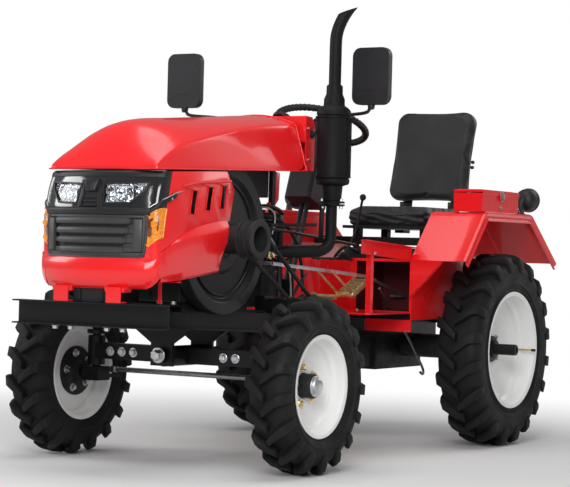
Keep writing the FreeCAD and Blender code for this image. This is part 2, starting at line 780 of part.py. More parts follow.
def bonnet_solid(inset, back, drop):
    """The whole volume under the bonnet, moved in and lowered by an inset."""
    rise = (size("bonnet_rear_low") - 961) / (BONNET[-1][0] - BONNET[0][0])
    wires = []
    for y, low_half, half, shoulder, top in BONNET:
        base = 961 + rise * (y - BONNET[0][0])
        y = y + back
        b = half - inset
        a = low_half - inset + (low_half - half) * drop / (shoulder - base)
        corners = [V(-a, y, base - drop), V(a, y, base - drop),
                   V(b, y, shoulder - inset), V(-b, y, shoulder - inset)]
        crown = V(0, y, top - inset)
        wires.append(Part.Wire([
            Part.LineSegment(corners[0], corners[1]).toShape(),
            Part.LineSegment(corners[1], corners[2]).toShape(),
            Part.Arc(corners[2], crown, corners[3]).toShape(),
            Part.LineSegment(corners[3], corners[0]).toShape(),
        ]))
    return Part.makeLoft(wires, True, True)


def bonnet():
    """Crowned lid with closed sides and front, open below and at the back."""
    skin = size("skin")
    outer = bonnet_solid(0, 0, 0)
    inner = bonnet_solid(skin, skin + 2, 30)
    y, z = size("hinge_y"), size("hinge_z")
    across = V(1, 0, 0)
    starts = (-84, 60)
    eyes = [Part.makeCylinder(9, 24, V(x, y, z), across) for x in starts]
    webs = [Part.makeBox(24, 10, 34, V(x, y - 5, z + 3)) for x in starts]
    bores = [Part.makeCylinder(size("hinge_pin_r") + size("running"), 26, V(x - 1, y, z), across)
             for x in starts]
    webs = [web.common(outer) for web in webs]
    whole = outer.cut(inner).multiFuse(eyes + webs).cut(bores[0]).cut(bores[1])
    return shaped("Bonnet", whole.removeSplitter())


def dash_cowl():
    """Red cowl behind the bonnet that carries the dials and the hinge pins."""
    front = "cowl_front"
    shell = prism_x([(front, 1002), (front, 1192), (-170, 1190), (-150, 1165), (-150, 1002)],
                    -200, 200)
    hollow = prism_x([(front + " - 1", 1001), (front + " - 1", 1100), (front + " + 3", 1100),
                      (front + " + 3", 1189), (-171, 1187), (-153, 1164), (-153, 1001)], -197, 197)
    pins = [rod("X", "hinge_pin_r", x, "hinge_y", "hinge_z", 60) for x in (-102, 42)]
    neck = [("hinge_y - 6", "hinge_z"), ("hinge_y + 6", "hinge_z"),
            ("hinge_y + 8", "hinge_z - 36"), (front + " + 2", "hinge_z - 44"),
            (front + " + 2", "hinge_z - 64"), ("hinge_y - 6", "hinge_z - 60")]
    arms = [prism_x(neck, x, x + 8) for x in (-100, -52, 44, 92)]
    arms += [rod("X", 7, x, "hinge_y", "hinge_z", 8) for x in (-100, -52, 44, 92)]
    return fuse(cut(shell, hollow), *pins, *arms)


# ------------------------------------------------------- steering gear

def leaned(thing, y, z):
    """Tilt a piece built upright about its foot, as the column leans."""
    thing.Placement = FreeCAD.Placement(
        V(0, 0, 0), FreeCAD.Rotation(V(1, 0, 0), -size("steer_tilt")))
    return place(thing, 0, y, z)


def steering_column():
    """Black cover with its two bars down to the steering box."""
    cover = rounded(box((-55, 55), (-69, 69), (-312, -92)), 14, along(Z_AXIS))
    collar = rod("Z", 24, 0, 0, -95, 50)
    bars = [rod("Z", 9, x, y, -716, 410) for x, y in ((-16, 8), (16, -8))]
    bore = rod("Z", "10 + running", 0, 0, -130, 90)
    case = box((-60, 60), (-58, 48), (440, 516))
    return fuse(leaned(cut(fuse(cover, collar, *bars), bore), "steer_y", "steer_z"), case)


def steering_wheel():
    ring = doc.addObject("Part::Torus", "Ring")
    bind(ring, "Radius1", "steer_wheel_r")
    bind(ring, "Radius2", "steer_grip_r")
    hub = rod("Z", 32, 0, 0, -30, 40)
    shaft = rod("Z", 10, 0, 0, -125, 100)
    spokes = []
    for turn in (90, 210, 330):
        spoke = box((0, "steer_wheel_r"), (-11, 11), (-8, -2))
        spoke.Placement = FreeCAD.Placement(V(0, 0, 0), FreeCAD.Rotation(Z_AXIS, turn),
                                            V(0, 0, 0))
        away = FreeCAD.Rotation(Z_AXIS, turn).multVec(V(0, -11, -8))
        place(spoke, away.x, away.y, away.z)
        spokes.append(spoke)
    return leaned(fuse(ring, hub, shaft, *spokes), "steer_y", "steer_z")


# -------------------------------------------------------------- exhaust

def muffler():
    x, y = "muffler_x", "muffler_y"
    can = rod("Z", "muffler_r", x, y, "muffler_low", "muffler_high - muffler_low")
    can = rounded(can, 10, lambda edge: True)
    neck = doc.addObject("Part::Cone", "Neck")
    bind(neck, "Radius1", 24)
    bind(neck, "Radius2", 38)
    bind(neck, "Height", 60)
    place(neck, x, y, "muffler_low - 58")
    collar = rod("Z", 28, x, y, "muffler_high - 2", 52)
    guard = cut(rod("Z", "muffler_r + 5", x, y, "muffler_low + 12", 236),
                rod("Z", "muffler_r + 3", x, y, "muffler_low", 300),
                box(("muffler_x - 90", "muffler_x + 20"), ("muffler_y - 90", "muffler_y + 90"),
                    (900, 1300)))
    tabs = [box(("muffler_x + 50", "muffler_x + 61"), ("muffler_y - 8", "muffler_y + 8"), (z, z + 12))
            for z in (990, 1180)]
    return fuse(can, neck, collar, guard, *tabs)


def exhaust_pipe():
    """Down pipe to the cylinder head, and the stack with a bent, slanted tip."""
    x, y = size("muffler_x"), size("muffler_y")
    radius = size("pipe_r")
    top = size("stack_top")
    head_rear = size("block_rear")
    down = tube_run([V(x, y, size("muffler_low") - 58), V(x, y, 765), V(x - 10, y - 12, 735),
                     V(x - 34, y - 36, 720), V(116, head_rear + 140, 716),
                     V(98, head_rear + 128, 716)], radius)
    flange = Part.makeCylinder(34, 8, V(100, head_rear + 130, 716), V(1, 0, 0))
    stack = tube_run([V(x, y, size("muffler_high") + 50), V(x, y, 1440), V(x + 4, y + 6, 1490),
                      V(x + 14, y + 20, 1530), V(x + 34, y + 44, top + 16)], radius + 2)
    slant = Part.makeBox(200, 200, 80, V(x - 100, y - 60, top - 22))
    slant.rotate(V(x, y, top - 22), V(1, 0, 0), 12)
    clamp = Part.makeCylinder(27, 12, V(x, y, 884), V(0, 0, 1))
    ears = Part.makeBox(94, 10, 12, V(x - 47, y - 5, 884))
    whole = down.multiFuse([flange, clamp, ears, stack.cut(slant)])
    return shaped("ExhaustPipe", whole)


# ------------------------------------------------------ driver's place

def platform():
    """Red floor with its toe boards, tunnel, braces, posts and rear plates."""
    half = "fender_in"
    floor = box(("-" + half, half), (0, 345), ("floor_z - 5", "floor_z"))
    toe = prism_x([(2, "floor_z - 4"), (2, "floor_z"), (-75, 690), (-79, 688)],
                  "rail_out + 20", "fender_in - 3")
    legs = pair(box((112, 148), (4, 341), (497, "floor_z - 5")))
    hump = box((-86, 86), (110, 346), ("floor_z", 690))
    brace = prism_x([(-41, 717), (346, 695), (346, 745), (-41, 767)], "fender_in - 3", "fender_in")
    lip = prism_x([(-41, 764), (346, 742), (346, 745), (-41, 767)], "fender_in", "fender_in + 22")
    post = box(("fender_in - 23", "fender_in - 3"), (37, 57), ("floor_z", 745))
    plate = box((86, 475), (345, 348), ("floor_z - 5", 700))
    low_plate = box(("rail_out", 475), (345, 348), (432, "floor_z - 4"))
    gusset = prism_y([("fender_in", 697), (470, 697), ("fender_in", 560)], 333, 346)
    sides = [pair(piece) for piece in (toe, brace, lip, post, plate, low_plate, gusset)]
    return fuse(floor, legs, hump, *sides)


def fender():
    """Left mudguard: folded sheet with an inner wall and a rolled outer edge."""
    def arch(shrink):
        return [(327 + shrink, 700), (497 + shrink * 0.6, "fender_top - %g" % shrink),
                (912 - shrink * 0.5, "fender_top - %g" % shrink), (1162 - shrink, 700)]
    whole = prism_x(arch(0), "fender_in", "fender_out")
    hollow = prism_x([(326, 690), (1163, 690)] + arch(3)[::-1], "fender_in + skin", "fender_out + 1")
    lip = cut(prism_x(arch(0), "fender_out - skin", "fender_out"),
              prism_x([(326, 690), (1163, 690)] + arch(24)[::-1], "fender_out - 10", "fender_out + 1"))
    wall = box(("fender_in", "fender_in + skin"), (348, 1000), (476, 705))
    return fuse(cut(whole, hollow), lip, wall)


def tool_box():
    """Open steel box on the left mudguard with two hinge ears and their pin."""
    x, z = "lid_hinge_x", "lid_hinge_z"
    case = box((430, 548), (500, 822), ("fender_top", 954))
    hollow = box((433, 545), (503, 819), ("fender_top + 3", 960))
    ears = [rod("Y", 6, x, y, z, 30) for y in (540, 752)]
    webs = [box((x, 431), (y, "%d + 30" % y), (z + " - 18", z + " - 3")) for y in (540, 752)]
    pin = rod("Y", "lid_pin_r", x, 545, z, 232)
    return fuse(cut(case, hollow), *ears, *webs, pin)


def tool_box_lid():
    """Flat lid with a folded front edge, a latch and two hinge knuckles."""
    x, z = "lid_hinge_x", "lid_hinge_z"
    top = box((431, 550), (499, 823), (z, z + " + 9"))
    rim = box((549, 551), (499, 823), (z + " - 9", z + " + 9"))
    latch = box((551, 554), (645, 677), (z + " - 27", z + " + 3"))
    rolls = [rod("Y", 7, x, y, z, 40) for y in (580, 700)]
    joins = [box((x, 433), (y, y + 40), (z, z + " + 7")) for y in (580, 700)]
    bore = rod("Y", "lid_pin_r + running", x, 570, z, 180)
    return cut(fuse(top, rim, latch, *rolls, *joins), bore)


def rear_lamps():
    """A round lamp behind each mudguard top, on a bent stay."""
    bowl = rod("Y", 45, 525, 915, 942, 60)
    bowl = rounded(bowl, 16, lambda edge: edge.CenterOfMass.y < 920)
    stay = box((505, 545), (880, 905), ("fender_top", "fender_top + 4"))
    arm = box((520, 530), (880, 920), ("fender_top", "fender_top + 40"))
    return pair(fuse(bowl, stay, arm))


def seat_base():
    """Black frame from mudguard to mudguard with the pan of the seat."""
    beams = [box(("-fender_in", "fender_in"), (y, y + 40), (755, 785)) for y in (800, 1040)]
    legs = [box((x, x + 30), (y + 5, y + 35), (785, 818)) for x in (-165, 135) for y in (800, 1040)]
    pan = box(("-seat_half", "seat_half"), ("seat_front + 6", "seat_rear - 6"), (818, "seat_low - 0.3"))
    stay = prism_x([(1100, 806), (1158, 806), (1176, 940), (1180, 990), (1173, 990), (1169, 940),
                    (1151, 818), (1100, 818)], 90, 130)
    return fuse(*beams, *legs, pan, pair(stay))


def seat_cushion():
    pad = box(("-seat_half", "seat_half"), ("seat_front", "seat_rear"), ("seat_low", "seat_high"))
    return rounded(pad, 16, lambda edge: edge.CenterOfMass.z > size("seat_low") + 1)


def seat_back():
    loop = [(1109, 936), (1156, 1316), (1196, 1310), (1168, 932)]
    pad = prism_x(loop, "-seat_half", "seat_half")
    return pad


def pedals():
    """Clutch and brake pedals on a cross shaft."""
    shaft = rod("X", 9, 150, -40, 560, 90)
    stand = box((146, 152), (-55, -25), (500, 575))
    arm = prism_x([(-46, 560), (112, 573), (116, 565), (-34, 552)], 190, 198)
    tread = prism_x([(98, 566), (228, 624), (232, 616), (102, 558)], 168, 236)
    return fuse(shaft, stand, arm, tread)


def gear_lever():
    base = V(60, 330, 690)
    knob = V(60, 470, 932)
    whole = tube_run([base - V(0, 6, 10), V(60, 420, 800), knob], 6)
    return shaped("GearLever", whole.fuse(Part.makeSphere(17, knob)))


LOWER_ROD = (V(98, -440, 676), V(212, -436, 673), V(212, 17, 648), V(212, 252, 632),
             V(212, 553, 556), V(120, 560, 440))


def control_rods():
    """The two rods along the left side, from the cylinder head to the controls."""
    upper = tube_run([V(98, -440, 800), V(200, -436, 796), V(200, -78, 760), V(200, 159, 744)], 5)
    return upper, tube_run(LOWER_ROD, 6)


def trimmed(rods, *others):
    """Rods cut back to the faces of the pieces that they end in."""
    doc.recompute()
    whole = []
    for rod_shape in rods:
        for other in others:
            rod_shape = rod_shape.cut(other.Shape)
        whole.append(max(rod_shape.Solids, key=lambda solid: solid.Volume))
    return shaped("Trimmed", whole[0].multiFuse(whole[1:]) if whole[1:] else whole[0])


def mirror():
    """A mirror on a bent stem from the side of the cowl."""
    head = rounded(box(("391 - 72", "391 + 72"), (-106, -78), (1236, 1436)), 26, along(V(0, 1, 0)))
    stem = shaped("Stem", tube_run([V(200, -170, 1130), V(212, -170, 1130), V(214, -120, 1180),
                                    V(250, -78, 1200), V(315, -80, 1205), V(378, -92, 1212),
                                    V(391, -92, 1240)], 6))
    return fuse(head, stem)


def build():
    frame = node("main_frame", main_frame())
    node("front_crossbeam", front_crossbeam())
    node("nose_brackets", nose_brackets())
    node("battery_box", battery_box())
    node("drawbar", drawbar())
    node("front_axle_beam", front_axle_beam())
    node("steering_knuckle_left", knuckle_left())
    node("steering_knuckle_right", knuckle_right())
    node("tie_rod", tie_rod())
    wheels()
    node("rear_transaxle", cut(rear_transaxle(), frame))
    engine = node("engine_block", engine_block())
    node("fuel_tank", fuel_tank())
    node("flywheel", flywheel())
    node("belt_pulley", belt_pulley())
    node("clutch_pulley", clutch_pulley())
    node("drive_belts", drive_belts())
    nose_pieces()
    node("side_panels", cut(side_panels(), frame))
    node("bonnet", bonnet())
    node("dash_cowl", dash_cowl())
    column = node("steering_column", steering_column())
    node("steering_wheel", steering_wheel())
    node("muffler", muffler())
    node("exhaust_pipe", cut(exhaust_pipe(), engine))
    foot_pedals = pedals()
    rods = trimmed(control_rods(), engine, frame)
    rod_hole = shaped("RodHole", tube_run(LOWER_ROD, 7))
    floor = node("platform", cut(platform(), frame, column, foot_pedals, rod_hole))
    left = node("fender_left", fender())
    node("fender_right", mirrored(left))
    node("tool_box", tool_box())
    node("tool_box_lid", tool_box_lid())
    node("rear_lamps", rear_lamps())
    back = seat_back()
    node("seat_base", cut(seat_base(), back))
    node("seat_cushion", seat_cushion())
    node("seat_back", back)
    node("pedals", foot_pedals)
    node("gear_lever", cut(gear_lever(), floor))
    node("control_rods", rods)
    mirror_left = node("mirror_left", mirror())
    node("mirror_right", mirrored(mirror_left))


build()
doc.recompute()
for thing in doc.Objects:
    if "Invalid" in thing.State or "Error" in thing.State:
        raise RuntimeError("%s (%s) did not build: %s" % (thing.Label, thing.TypeId, thing.State))
for name, thing in nodes:
    if thing.Shape.isNull() or not thing.Shape.isValid() or not thing.Shape.Solids:
        raise RuntimeError("%s has no sound shape" % name)

os.makedirs("parts", exist_ok=True)
for name, thing in nodes:
    thing.Shape.exportStep("parts/%s.step" % name)
    print(name, len(thing.Shape.Solids), "solids")
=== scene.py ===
import json
import math
from contextlib import contextmanager

import bmesh
import bpy
from bpy.props import FloatProperty, FloatVectorProperty, IntProperty, PointerProperty
from mathutils import Matrix, Vector

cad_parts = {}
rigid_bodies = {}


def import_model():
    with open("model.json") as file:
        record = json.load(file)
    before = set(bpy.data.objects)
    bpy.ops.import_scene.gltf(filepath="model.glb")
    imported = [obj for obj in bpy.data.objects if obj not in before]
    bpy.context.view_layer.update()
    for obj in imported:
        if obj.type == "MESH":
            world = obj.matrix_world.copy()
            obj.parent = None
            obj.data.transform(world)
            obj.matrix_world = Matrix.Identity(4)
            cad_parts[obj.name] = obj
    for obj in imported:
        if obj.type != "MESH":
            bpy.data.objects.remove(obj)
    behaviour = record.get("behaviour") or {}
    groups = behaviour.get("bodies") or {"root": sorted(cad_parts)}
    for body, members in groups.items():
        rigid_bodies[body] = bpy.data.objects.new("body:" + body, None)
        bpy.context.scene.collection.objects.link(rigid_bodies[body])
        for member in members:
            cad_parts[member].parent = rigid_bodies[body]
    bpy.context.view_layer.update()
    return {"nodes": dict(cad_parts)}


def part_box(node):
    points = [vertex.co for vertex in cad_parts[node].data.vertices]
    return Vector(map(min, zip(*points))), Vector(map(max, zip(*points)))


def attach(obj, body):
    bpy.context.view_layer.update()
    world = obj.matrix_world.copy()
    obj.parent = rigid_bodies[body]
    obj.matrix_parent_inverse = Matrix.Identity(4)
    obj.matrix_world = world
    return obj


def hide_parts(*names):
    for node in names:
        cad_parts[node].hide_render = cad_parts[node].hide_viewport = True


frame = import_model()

bl_info = {
    "name": "Mini Tractor",
    "version": (1, 0, 0),
    "blender": (4, 5, 0),
    "location": "3D View > Sidebar > Tractor",
    "description": "Tyres, wheels, bodywork, engine, seat and finishes for a mini tractor",
    "category": "Object",
}

NODES = frame["nodes"]
TURN = 2 * math.pi
X, Y, Z = Vector((1, 0, 0)), Vector((0, 1, 0)), Vector((0, 0, 1))
HUB = (0, 0, 0)
SIDES = (("left", 1), ("right", -1))


# ---------------------------------------------------------------- bench work


def clear():
    """Leave nothing selected, in object mode."""
    if bpy.context.object and bpy.context.object.mode != "OBJECT":
        bpy.ops.object.mode_set(mode="OBJECT")
    bpy.ops.object.select_all(action="DESELECT")


def take(*things):
    """Select these objects and nothing else, the first of them active."""
    clear()
    for thing in things:
        thing.select_set(True)
    bpy.context.view_layer.objects.active = things[0]


def settle(thing):
    """Write the object's place into its mesh, so that it sits at the origin."""
    take(thing)
    bpy.ops.object.transform_apply(location=True, rotation=True, scale=True)
    return thing


def added(name):
    """Name the primitive that was just added and write its place into its mesh."""
    return settle(named(bpy.context.object, name))


@contextmanager
def shaping(thing, kind="FACE"):
    """Edit mode on one object, with nothing selected at the start."""
    take(thing)
    bpy.ops.object.mode_set(mode="EDIT")
    bpy.ops.mesh.select_mode(type=kind)
    bpy.ops.mesh.select_all(action="DESELECT")
    yield
    bpy.ops.object.mode_set(mode="OBJECT")


def pick(wanted, kind="faces"):
    """Select the faces, edges or verts that pass a test of their middle and, for faces, normal."""
    thing = bpy.context.object
    work = bmesh.from_edit_mesh(thing.data)
    bpy.ops.mesh.select_all(action="DESELECT")
    count = 0
    for item in getattr(work, kind):
        if kind == "faces":
            chosen = wanted(item.calc_center_median(), item.normal)
        elif kind == "edges":
            chosen = wanted(*(v.co for v in item.verts))
        else:
            chosen = wanted(item.co)
        if chosen:
            item.select_set(True)
            count += 1
    work.select_flush_mode()
    bmesh.update_edit_mesh(thing.data)
    if not count:
        raise RuntimeError("nothing was picked on " + thing.name)
    return count


def select_all():
    bpy.ops.mesh.select_all(action="SELECT")


def outward():
    """Turn all the faces outwards, in edit mode."""
    select_all()
    bpy.ops.mesh.normals_make_consistent(inside=False)


def tidy_mesh(threshold=0.00002):
    """Merge doubles and turn the faces outwards, in edit mode."""
    select_all()
    bpy.ops.mesh.remove_doubles(threshold=threshold)
    bpy.ops.mesh.normals_make_consistent(inside=False)


def cut_away(thing, wanted):
    """Delete the faces that pass a test."""
    with shaping(thing):
        pick(wanted)
        bpy.ops.mesh.delete(type="FACE")
    return thing


def inset_facing(thing, way, *steps):
    """Inset the faces that look one way, by a (thickness, depth) at a time."""
    with shaping(thing):
        pick(lambda c, n: n.dot(Vector(way)) > 0.9)
        for thickness, depth in steps:
            bpy.ops.mesh.inset(thickness=thickness, depth=depth)
    return thing


def named(thing, name):
    thing.name = thing.data.name = name
    return thing


def block(name, low, high):
    """A box between two corners, as a start."""
    low, high = Vector(low), Vector(high)
    clear()
    bpy.ops.mesh.primitive_cube_add(size=1, location=(low + high) / 2, scale=high - low)
    return added(name)


def turn_to(direction):
    """The turn that takes +Z to a direction."""
    return Vector(direction).to_track_quat("Z", "Y").to_matrix().to_4x4()


def drum(name, start, end, radius, sides=32, top=None):
    """A round bar between two points, or a tapered one."""
    start, end = Vector(start), Vector(end)
    clear()
    bpy.ops.mesh.primitive_cone_add(
        vertices=sides, radius1=radius, radius2=radius if top is None else top,
        depth=(end - start).length, location=(start + end) / 2,
        rotation=turn_to(end - start).to_euler(),
    )
    return added(name)


def drawn(name, points, filled=False):
    """A line drawn from point to point, or a face inside it."""
    points = [Vector(p) for p in points]
    clear()
    bpy.ops.mesh.primitive_plane_add(size=0.001, location=points[0])
    line = added(name)
    with shaping(line, "VERT"):
        select_all()
        bpy.ops.mesh.merge(type="CENTER")
        for before, after in zip(points, points[1:]):
            bpy.ops.mesh.extrude_region_move(TRANSFORM_OT_translate={"value": after - before})
        if filled:
            select_all()
            bpy.ops.mesh.edge_face_add()
    return line


def spun(name, outline, centre=HUB, axis="X", steps=64, sweep=TURN):
    """A turned piece: an outline of (along, out) pairs spun about an axis through centre."""
    along, out = {"X": (X, Z), "Y": (Y, Z), "Z": (Z, X)}[axis]
    piece = drawn(name, [Vector(centre) + along * a + out * r for a, r in outline])
    with shaping(piece, "VERT"):
        select_all()
        bpy.ops.mesh.spin(steps=steps, angle=sweep, center=Vector(centre), axis=along)
        tidy_mesh()
    return piece


def tube(name, points, radius, sides=4, closed=False, smooth=True):
    """A round tube along a smooth line through points, as a mesh."""
    clear()
    bpy.ops.curve.primitive_nurbs_path_add()
    line = bpy.context.object
    line.name = name
    line.data.splines.clear()
    spline = line.data.splines.new("NURBS" if smooth else "POLY")
    spline.points.add(len(points) - 1)
    for point, place in zip(spline.points, points):
        point.co = (*place, 1.0)
    spline.use_cyclic_u = closed
    if smooth:
        spline.order_u = min(3, len(points))
        spline.use_endpoint_u = not closed
        spline.resolution_u = 8
    line.data.dimensions = "3D"
    line.data.bevel_depth = radius
    line.data.bevel_resolution = sides
    line.data.use_fill_caps = not closed
    line.location = (0, 0, 0)
    take(line)
    bpy.ops.object.convert(target="MESH")
    return added(name)


def modify(thing, kind, **settings):
    """Add a modifier and apply it."""
    take(thing)
    bpy.ops.object.modifier_add(type=kind)
    modifier = thing.modifiers[-1]
    for key, value in settings.items():
        setattr(modifier, key, value)
    bpy.ops.object.modifier_apply(modifier=modifier.name)
    return thing


def ease(thing, width, segments=2, angle=30):
    """Round the sharp edges a little."""
    return modify(thing, "BEVEL", width=width, segments=segments, limit_method="ANGLE",
                  angle_limit=math.radians(angle), harden_normals=False)


def shade(thing, angle=40):
    """Smooth shading, with edges sharper than angle left sharp."""
    take(thing)
    bpy.ops.object.shade_smooth_by_angle(angle=math.radians(angle))
    return thing


def moved(thing, place):
    """Move a piece by a matrix, its place written into its mesh."""
    thing.matrix_world = place @ thing.matrix_world
    return settle(thing)


def copied(thing, place, name=None):
    """A copy with its own mesh, moved by a matrix."""
    take(thing)
    bpy.ops.object.duplicate(linked=False)
    twin = moved(bpy.context.object, place)
    return named(twin, name) if name else twin


def flipped(thing, name):
    """The same piece on the other side of the middle plane."""
    twin = copied(thing, Matrix.Scale(-1, 4, X), name)
    with shaping(twin):
        outward()
    return twin


def joined(name, things):
    """Several pieces made one object."""
    take(*things)
    if len(things) > 1:
        bpy.ops.object.join()
    return named(bpy.context.object, name)


def pair_of(name, thing):
    """A left piece joined with its mirror image."""
    return joined(name, [thing, flipped(thing, name + "_right")])


def discard(thing):
    take(thing)
    bpy.ops.object.delete()


def about(centre, axis, angle):
    """A turn about an axis through a point."""
    move = Matrix.Translation(Vector(centre))
    return move @ Matrix.Rotation(angle, 4, axis) @ move.inverted()


def placed(direction, at):
    return Matrix.Translation(Vector(at)) @ turn_to(direction)


def repeated(name, pattern, places):
    """One piece modelled once and copied to many places, as one object."""
    things = [copied(pattern, place) for place in places]
    discard(pattern)
    return joined(name, things)


def fit(thing, body, finish, *stands_for, slot=None):
    """Give a finished piece its finish and the body that it moves with."""
    thing.data.materials.clear()
    thing.data.materials.append(FINISHES[finish])
    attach(thing, body)
    if stands_for:
        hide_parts(*stands_for)
    return thing


def made(name, things, finish, angle=40, soft=None, body="chassis", nodes=(), slot=None):
    """Join pieces, ease their edges if soft says how much, shade them and give the finish."""
    piece = joined(name, things)
    if soft:
        ease(piece, *soft)
    return fit(shade(piece, angle), body, finish, *nodes, slot=slot)


def pair_made(name, things, finish, angle=40, soft=None):
    """The same for pieces that are on both sides of the tractor."""
    return made(name, [pair_of(name, joined(name, things))], finish, angle, soft)


def mid(name):
    low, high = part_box(name)
    return (low + high) / 2


# ---------------------------------------------------------------- finishes


FINISHES = {}
DULL = {
    "black_paint": 0.2, "guard_black": 0.15, "black_plastic": 0.3, "deep_black": 0.1,
    "casting": 0.22, "tyre_rubber": 0.22, "belt_rubber": 0.2, "grip_rubber": 0.25,
    "flywheel_black": 0.25, "seat_vinyl": 0.32, "red_paint": 0.4,
}


def new_finish(name, colour, rough, metal=0.0, coat=0.0):
    """A finish with its steady values set on the shader's own sockets."""
    material = bpy.data.materials.new(name)
    material.use_nodes = True
    shader = material.node_tree.nodes["Principled BSDF"]
    shader.inputs["Base Color"].default_value = (*colour, 1.0)
    shader.inputs["Roughness"].default_value = rough
    shader.inputs["Metallic"].default_value = metal
    shader.inputs["Coat Weight"].default_value = coat
    shader.inputs["Coat Roughness"].default_value = 0.06
    material.diffuse_color = (*colour, 1.0)
    FINISHES[name] = material
    return material


def add_node(material, kind, links=(), **values):
    """A node with its input values set and its inputs joined up."""
    tree = material.node_tree
    node = tree.nodes.new(kind)
    for key, value in values.items():
        if key in node.inputs:
            node.inputs[key].default_value = value
        else:
            setattr(node, key, value)
    for output, key in links:
        tree.links.new(output, node.inputs[key])
    return node


def object_place(material):
    return add_node(material, "ShaderNodeTexCoord").outputs["Object"]


def clouds(material, scale, detail=3.0, stretch=(1, 1, 1)):
    """A cloudy pattern over the piece, from 0 to 1."""
    place = object_place(material)
    mapped = add_node(material, "ShaderNodeMapping", [(place, "Vector")], Scale=stretch)
    noise = add_node(
        material, "ShaderNodeTexNoise", [(mapped.outputs["Vector"], "Vector")],
        Scale=scale, Detail=detail,
    )
    return noise.outputs["Fac"]


def shader_of(material):
    return material.node_tree.nodes["Principled BSDF"]


def colour_between(material, amount, low, high, start=0.35, end=0.65):
    """The base colour goes from low to high as the pattern does."""
    ramp = add_node(material, "ShaderNodeValToRGB", [(amount, "Fac")])
    ramp.color_ramp.elements[0].position = start
    ramp.color_ramp.elements[0].color = (*low, 1.0)
    ramp.color_ramp.elements[1].position = end
    ramp.color_ramp.elements[1].color = (*high, 1.0)
    material.node_tree.links.new(ramp.outputs["Color"], shader_of(material).inputs["Base Color"])


def rough_between(material, amount, low, high):
    """The roughness goes from low to high as the pattern does."""
    spread = add_node(material, "ShaderNodeMapRange", [(amount, "Value")])
    spread.inputs["From Min"].default_value = 0.3
    spread.inputs["From Max"].default_value = 0.7
    spread.inputs["To Min"].default_value = low
    spread.inputs["To Max"].default_value = high
    material.node_tree.links.new(spread.outputs["Result"], shader_of(material).inputs["Roughness"])


def relief(material, *layers):
    """Bump from several patterns, each with its depth in metres."""
    tree = material.node_tree
    last = None
    for height, depth in layers:
        links = [(height, "Height")]
        if last:
            links.append((last, "Normal"))
        bump = add_node(material, "ShaderNodeBump", links, Strength=1.0, Distance=depth)
        last = bump.outputs["Normal"]
    tree.links.new(last, shader_of(material).inputs["Normal"])


def shade_of(colour, factor):
    return tuple(min(1.0, c * factor) for c in colour)


def enamel(name, colour, rough, coat, peel=0.00006):
    """Sprayed paint: a faint orange peel, a little drift of colour and gloss."""
    paint = new_finish(name, colour, rough, coat=coat)
    drift = clouds(paint, 2.0)
    colour_between(paint, drift, shade_of(colour, 0.97), shade_of(colour, 1.03))
    rough_between(paint, clouds(paint, 5.0), rough * 0.92, rough * 1.1)
    relief(paint, (clouds(paint, 420.0, 1.0), peel), (clouds(paint, 6.0, 1.0), peel * 2))


def plain_metal(name, colour, rough, scratch=0.00003):
    """Bare or plated metal with faint streaks."""
    metal = new_finish(name, colour, rough, metal=1.0)
    streaks = clouds(metal, 160.0, 4.0, (1, 0.15, 1))
    colour_between(metal, clouds(metal, 45.0), shade_of(colour, 0.8), shade_of(colour, 1.1))
    rough_between(metal, streaks, rough * 0.8, rough * 1.35)
    relief(metal, (streaks, scratch))


def cells(material, scale):
    """A pattern of cells over the piece."""
    place = object_place(material)
    voronoi = add_node(material, "ShaderNodeTexVoronoi", [(place, "Vector")], Scale=scale)
    return voronoi.outputs["Distance"]


def casting():
    """Painted iron with the grain of the sand mould and oily darker patches."""
    colour = (0.016, 0.0165, 0.018)
    iron = new_finish("casting", colour, 0.55)
    colour_between(iron, clouds(iron, 11.0, 6.0), shade_of(colour, 0.55), shade_of(colour, 1.5))
    rough_between(iron, clouds(iron, 24.0), 0.42, 0.68)
    relief(iron, (clouds(iron, 520.0, 2.0), 0.0004), (clouds(iron, 90.0), 0.0006))


def rubber(name, colour, low, high, grain):
    """Moulded rubber: dusty lighter patches over a fine grain."""
    stuff = new_finish(name, colour, (low + high) / 2)
    colour_between(stuff, clouds(stuff, 7.0, 5.0), shade_of(colour, 0.75), shade_of(colour, 1.35))
    rough_between(stuff, clouds(stuff, 18.0, 4.0), low, high)
    relief(stuff, (clouds(stuff, 650.0, 2.0), grain), (clouds(stuff, 60.0), grain * 3))


def moulded(name, colour, rough, grain, scale=900.0):
    """Moulded plastic with the leather-like grain of its mould."""
    stuff = new_finish(name, colour, rough)
    colour_between(stuff, clouds(stuff, 5.0), shade_of(colour, 0.85), shade_of(colour, 1.15))
    rough_between(stuff, clouds(stuff, 30.0), rough * 0.88, rough * 1.12)
    relief(stuff, (cells(stuff, scale), grain))


def vinyl():
    """Seat cloth: grained black vinyl, shinier where it is stretched."""
    colour = (0.012, 0.012, 0.013)
    cover = new_finish("seat_vinyl", colour, 0.5)
    colour_between(cover, clouds(cover, 8.0, 5.0), shade_of(colour, 0.7), shade_of(colour, 1.4))
    rough_between(cover, clouds(cover, 12.0, 3.0), 0.4, 0.62)
    relief(cover, (cells(cover, 700.0), 0.00025), (clouds(cover, 160.0, 3.0), 0.0004))
    shader_of(cover).inputs["Sheen Weight"].default_value = 0.15
    shader_of(cover).inputs["Sheen Roughness"].default_value = 0.4


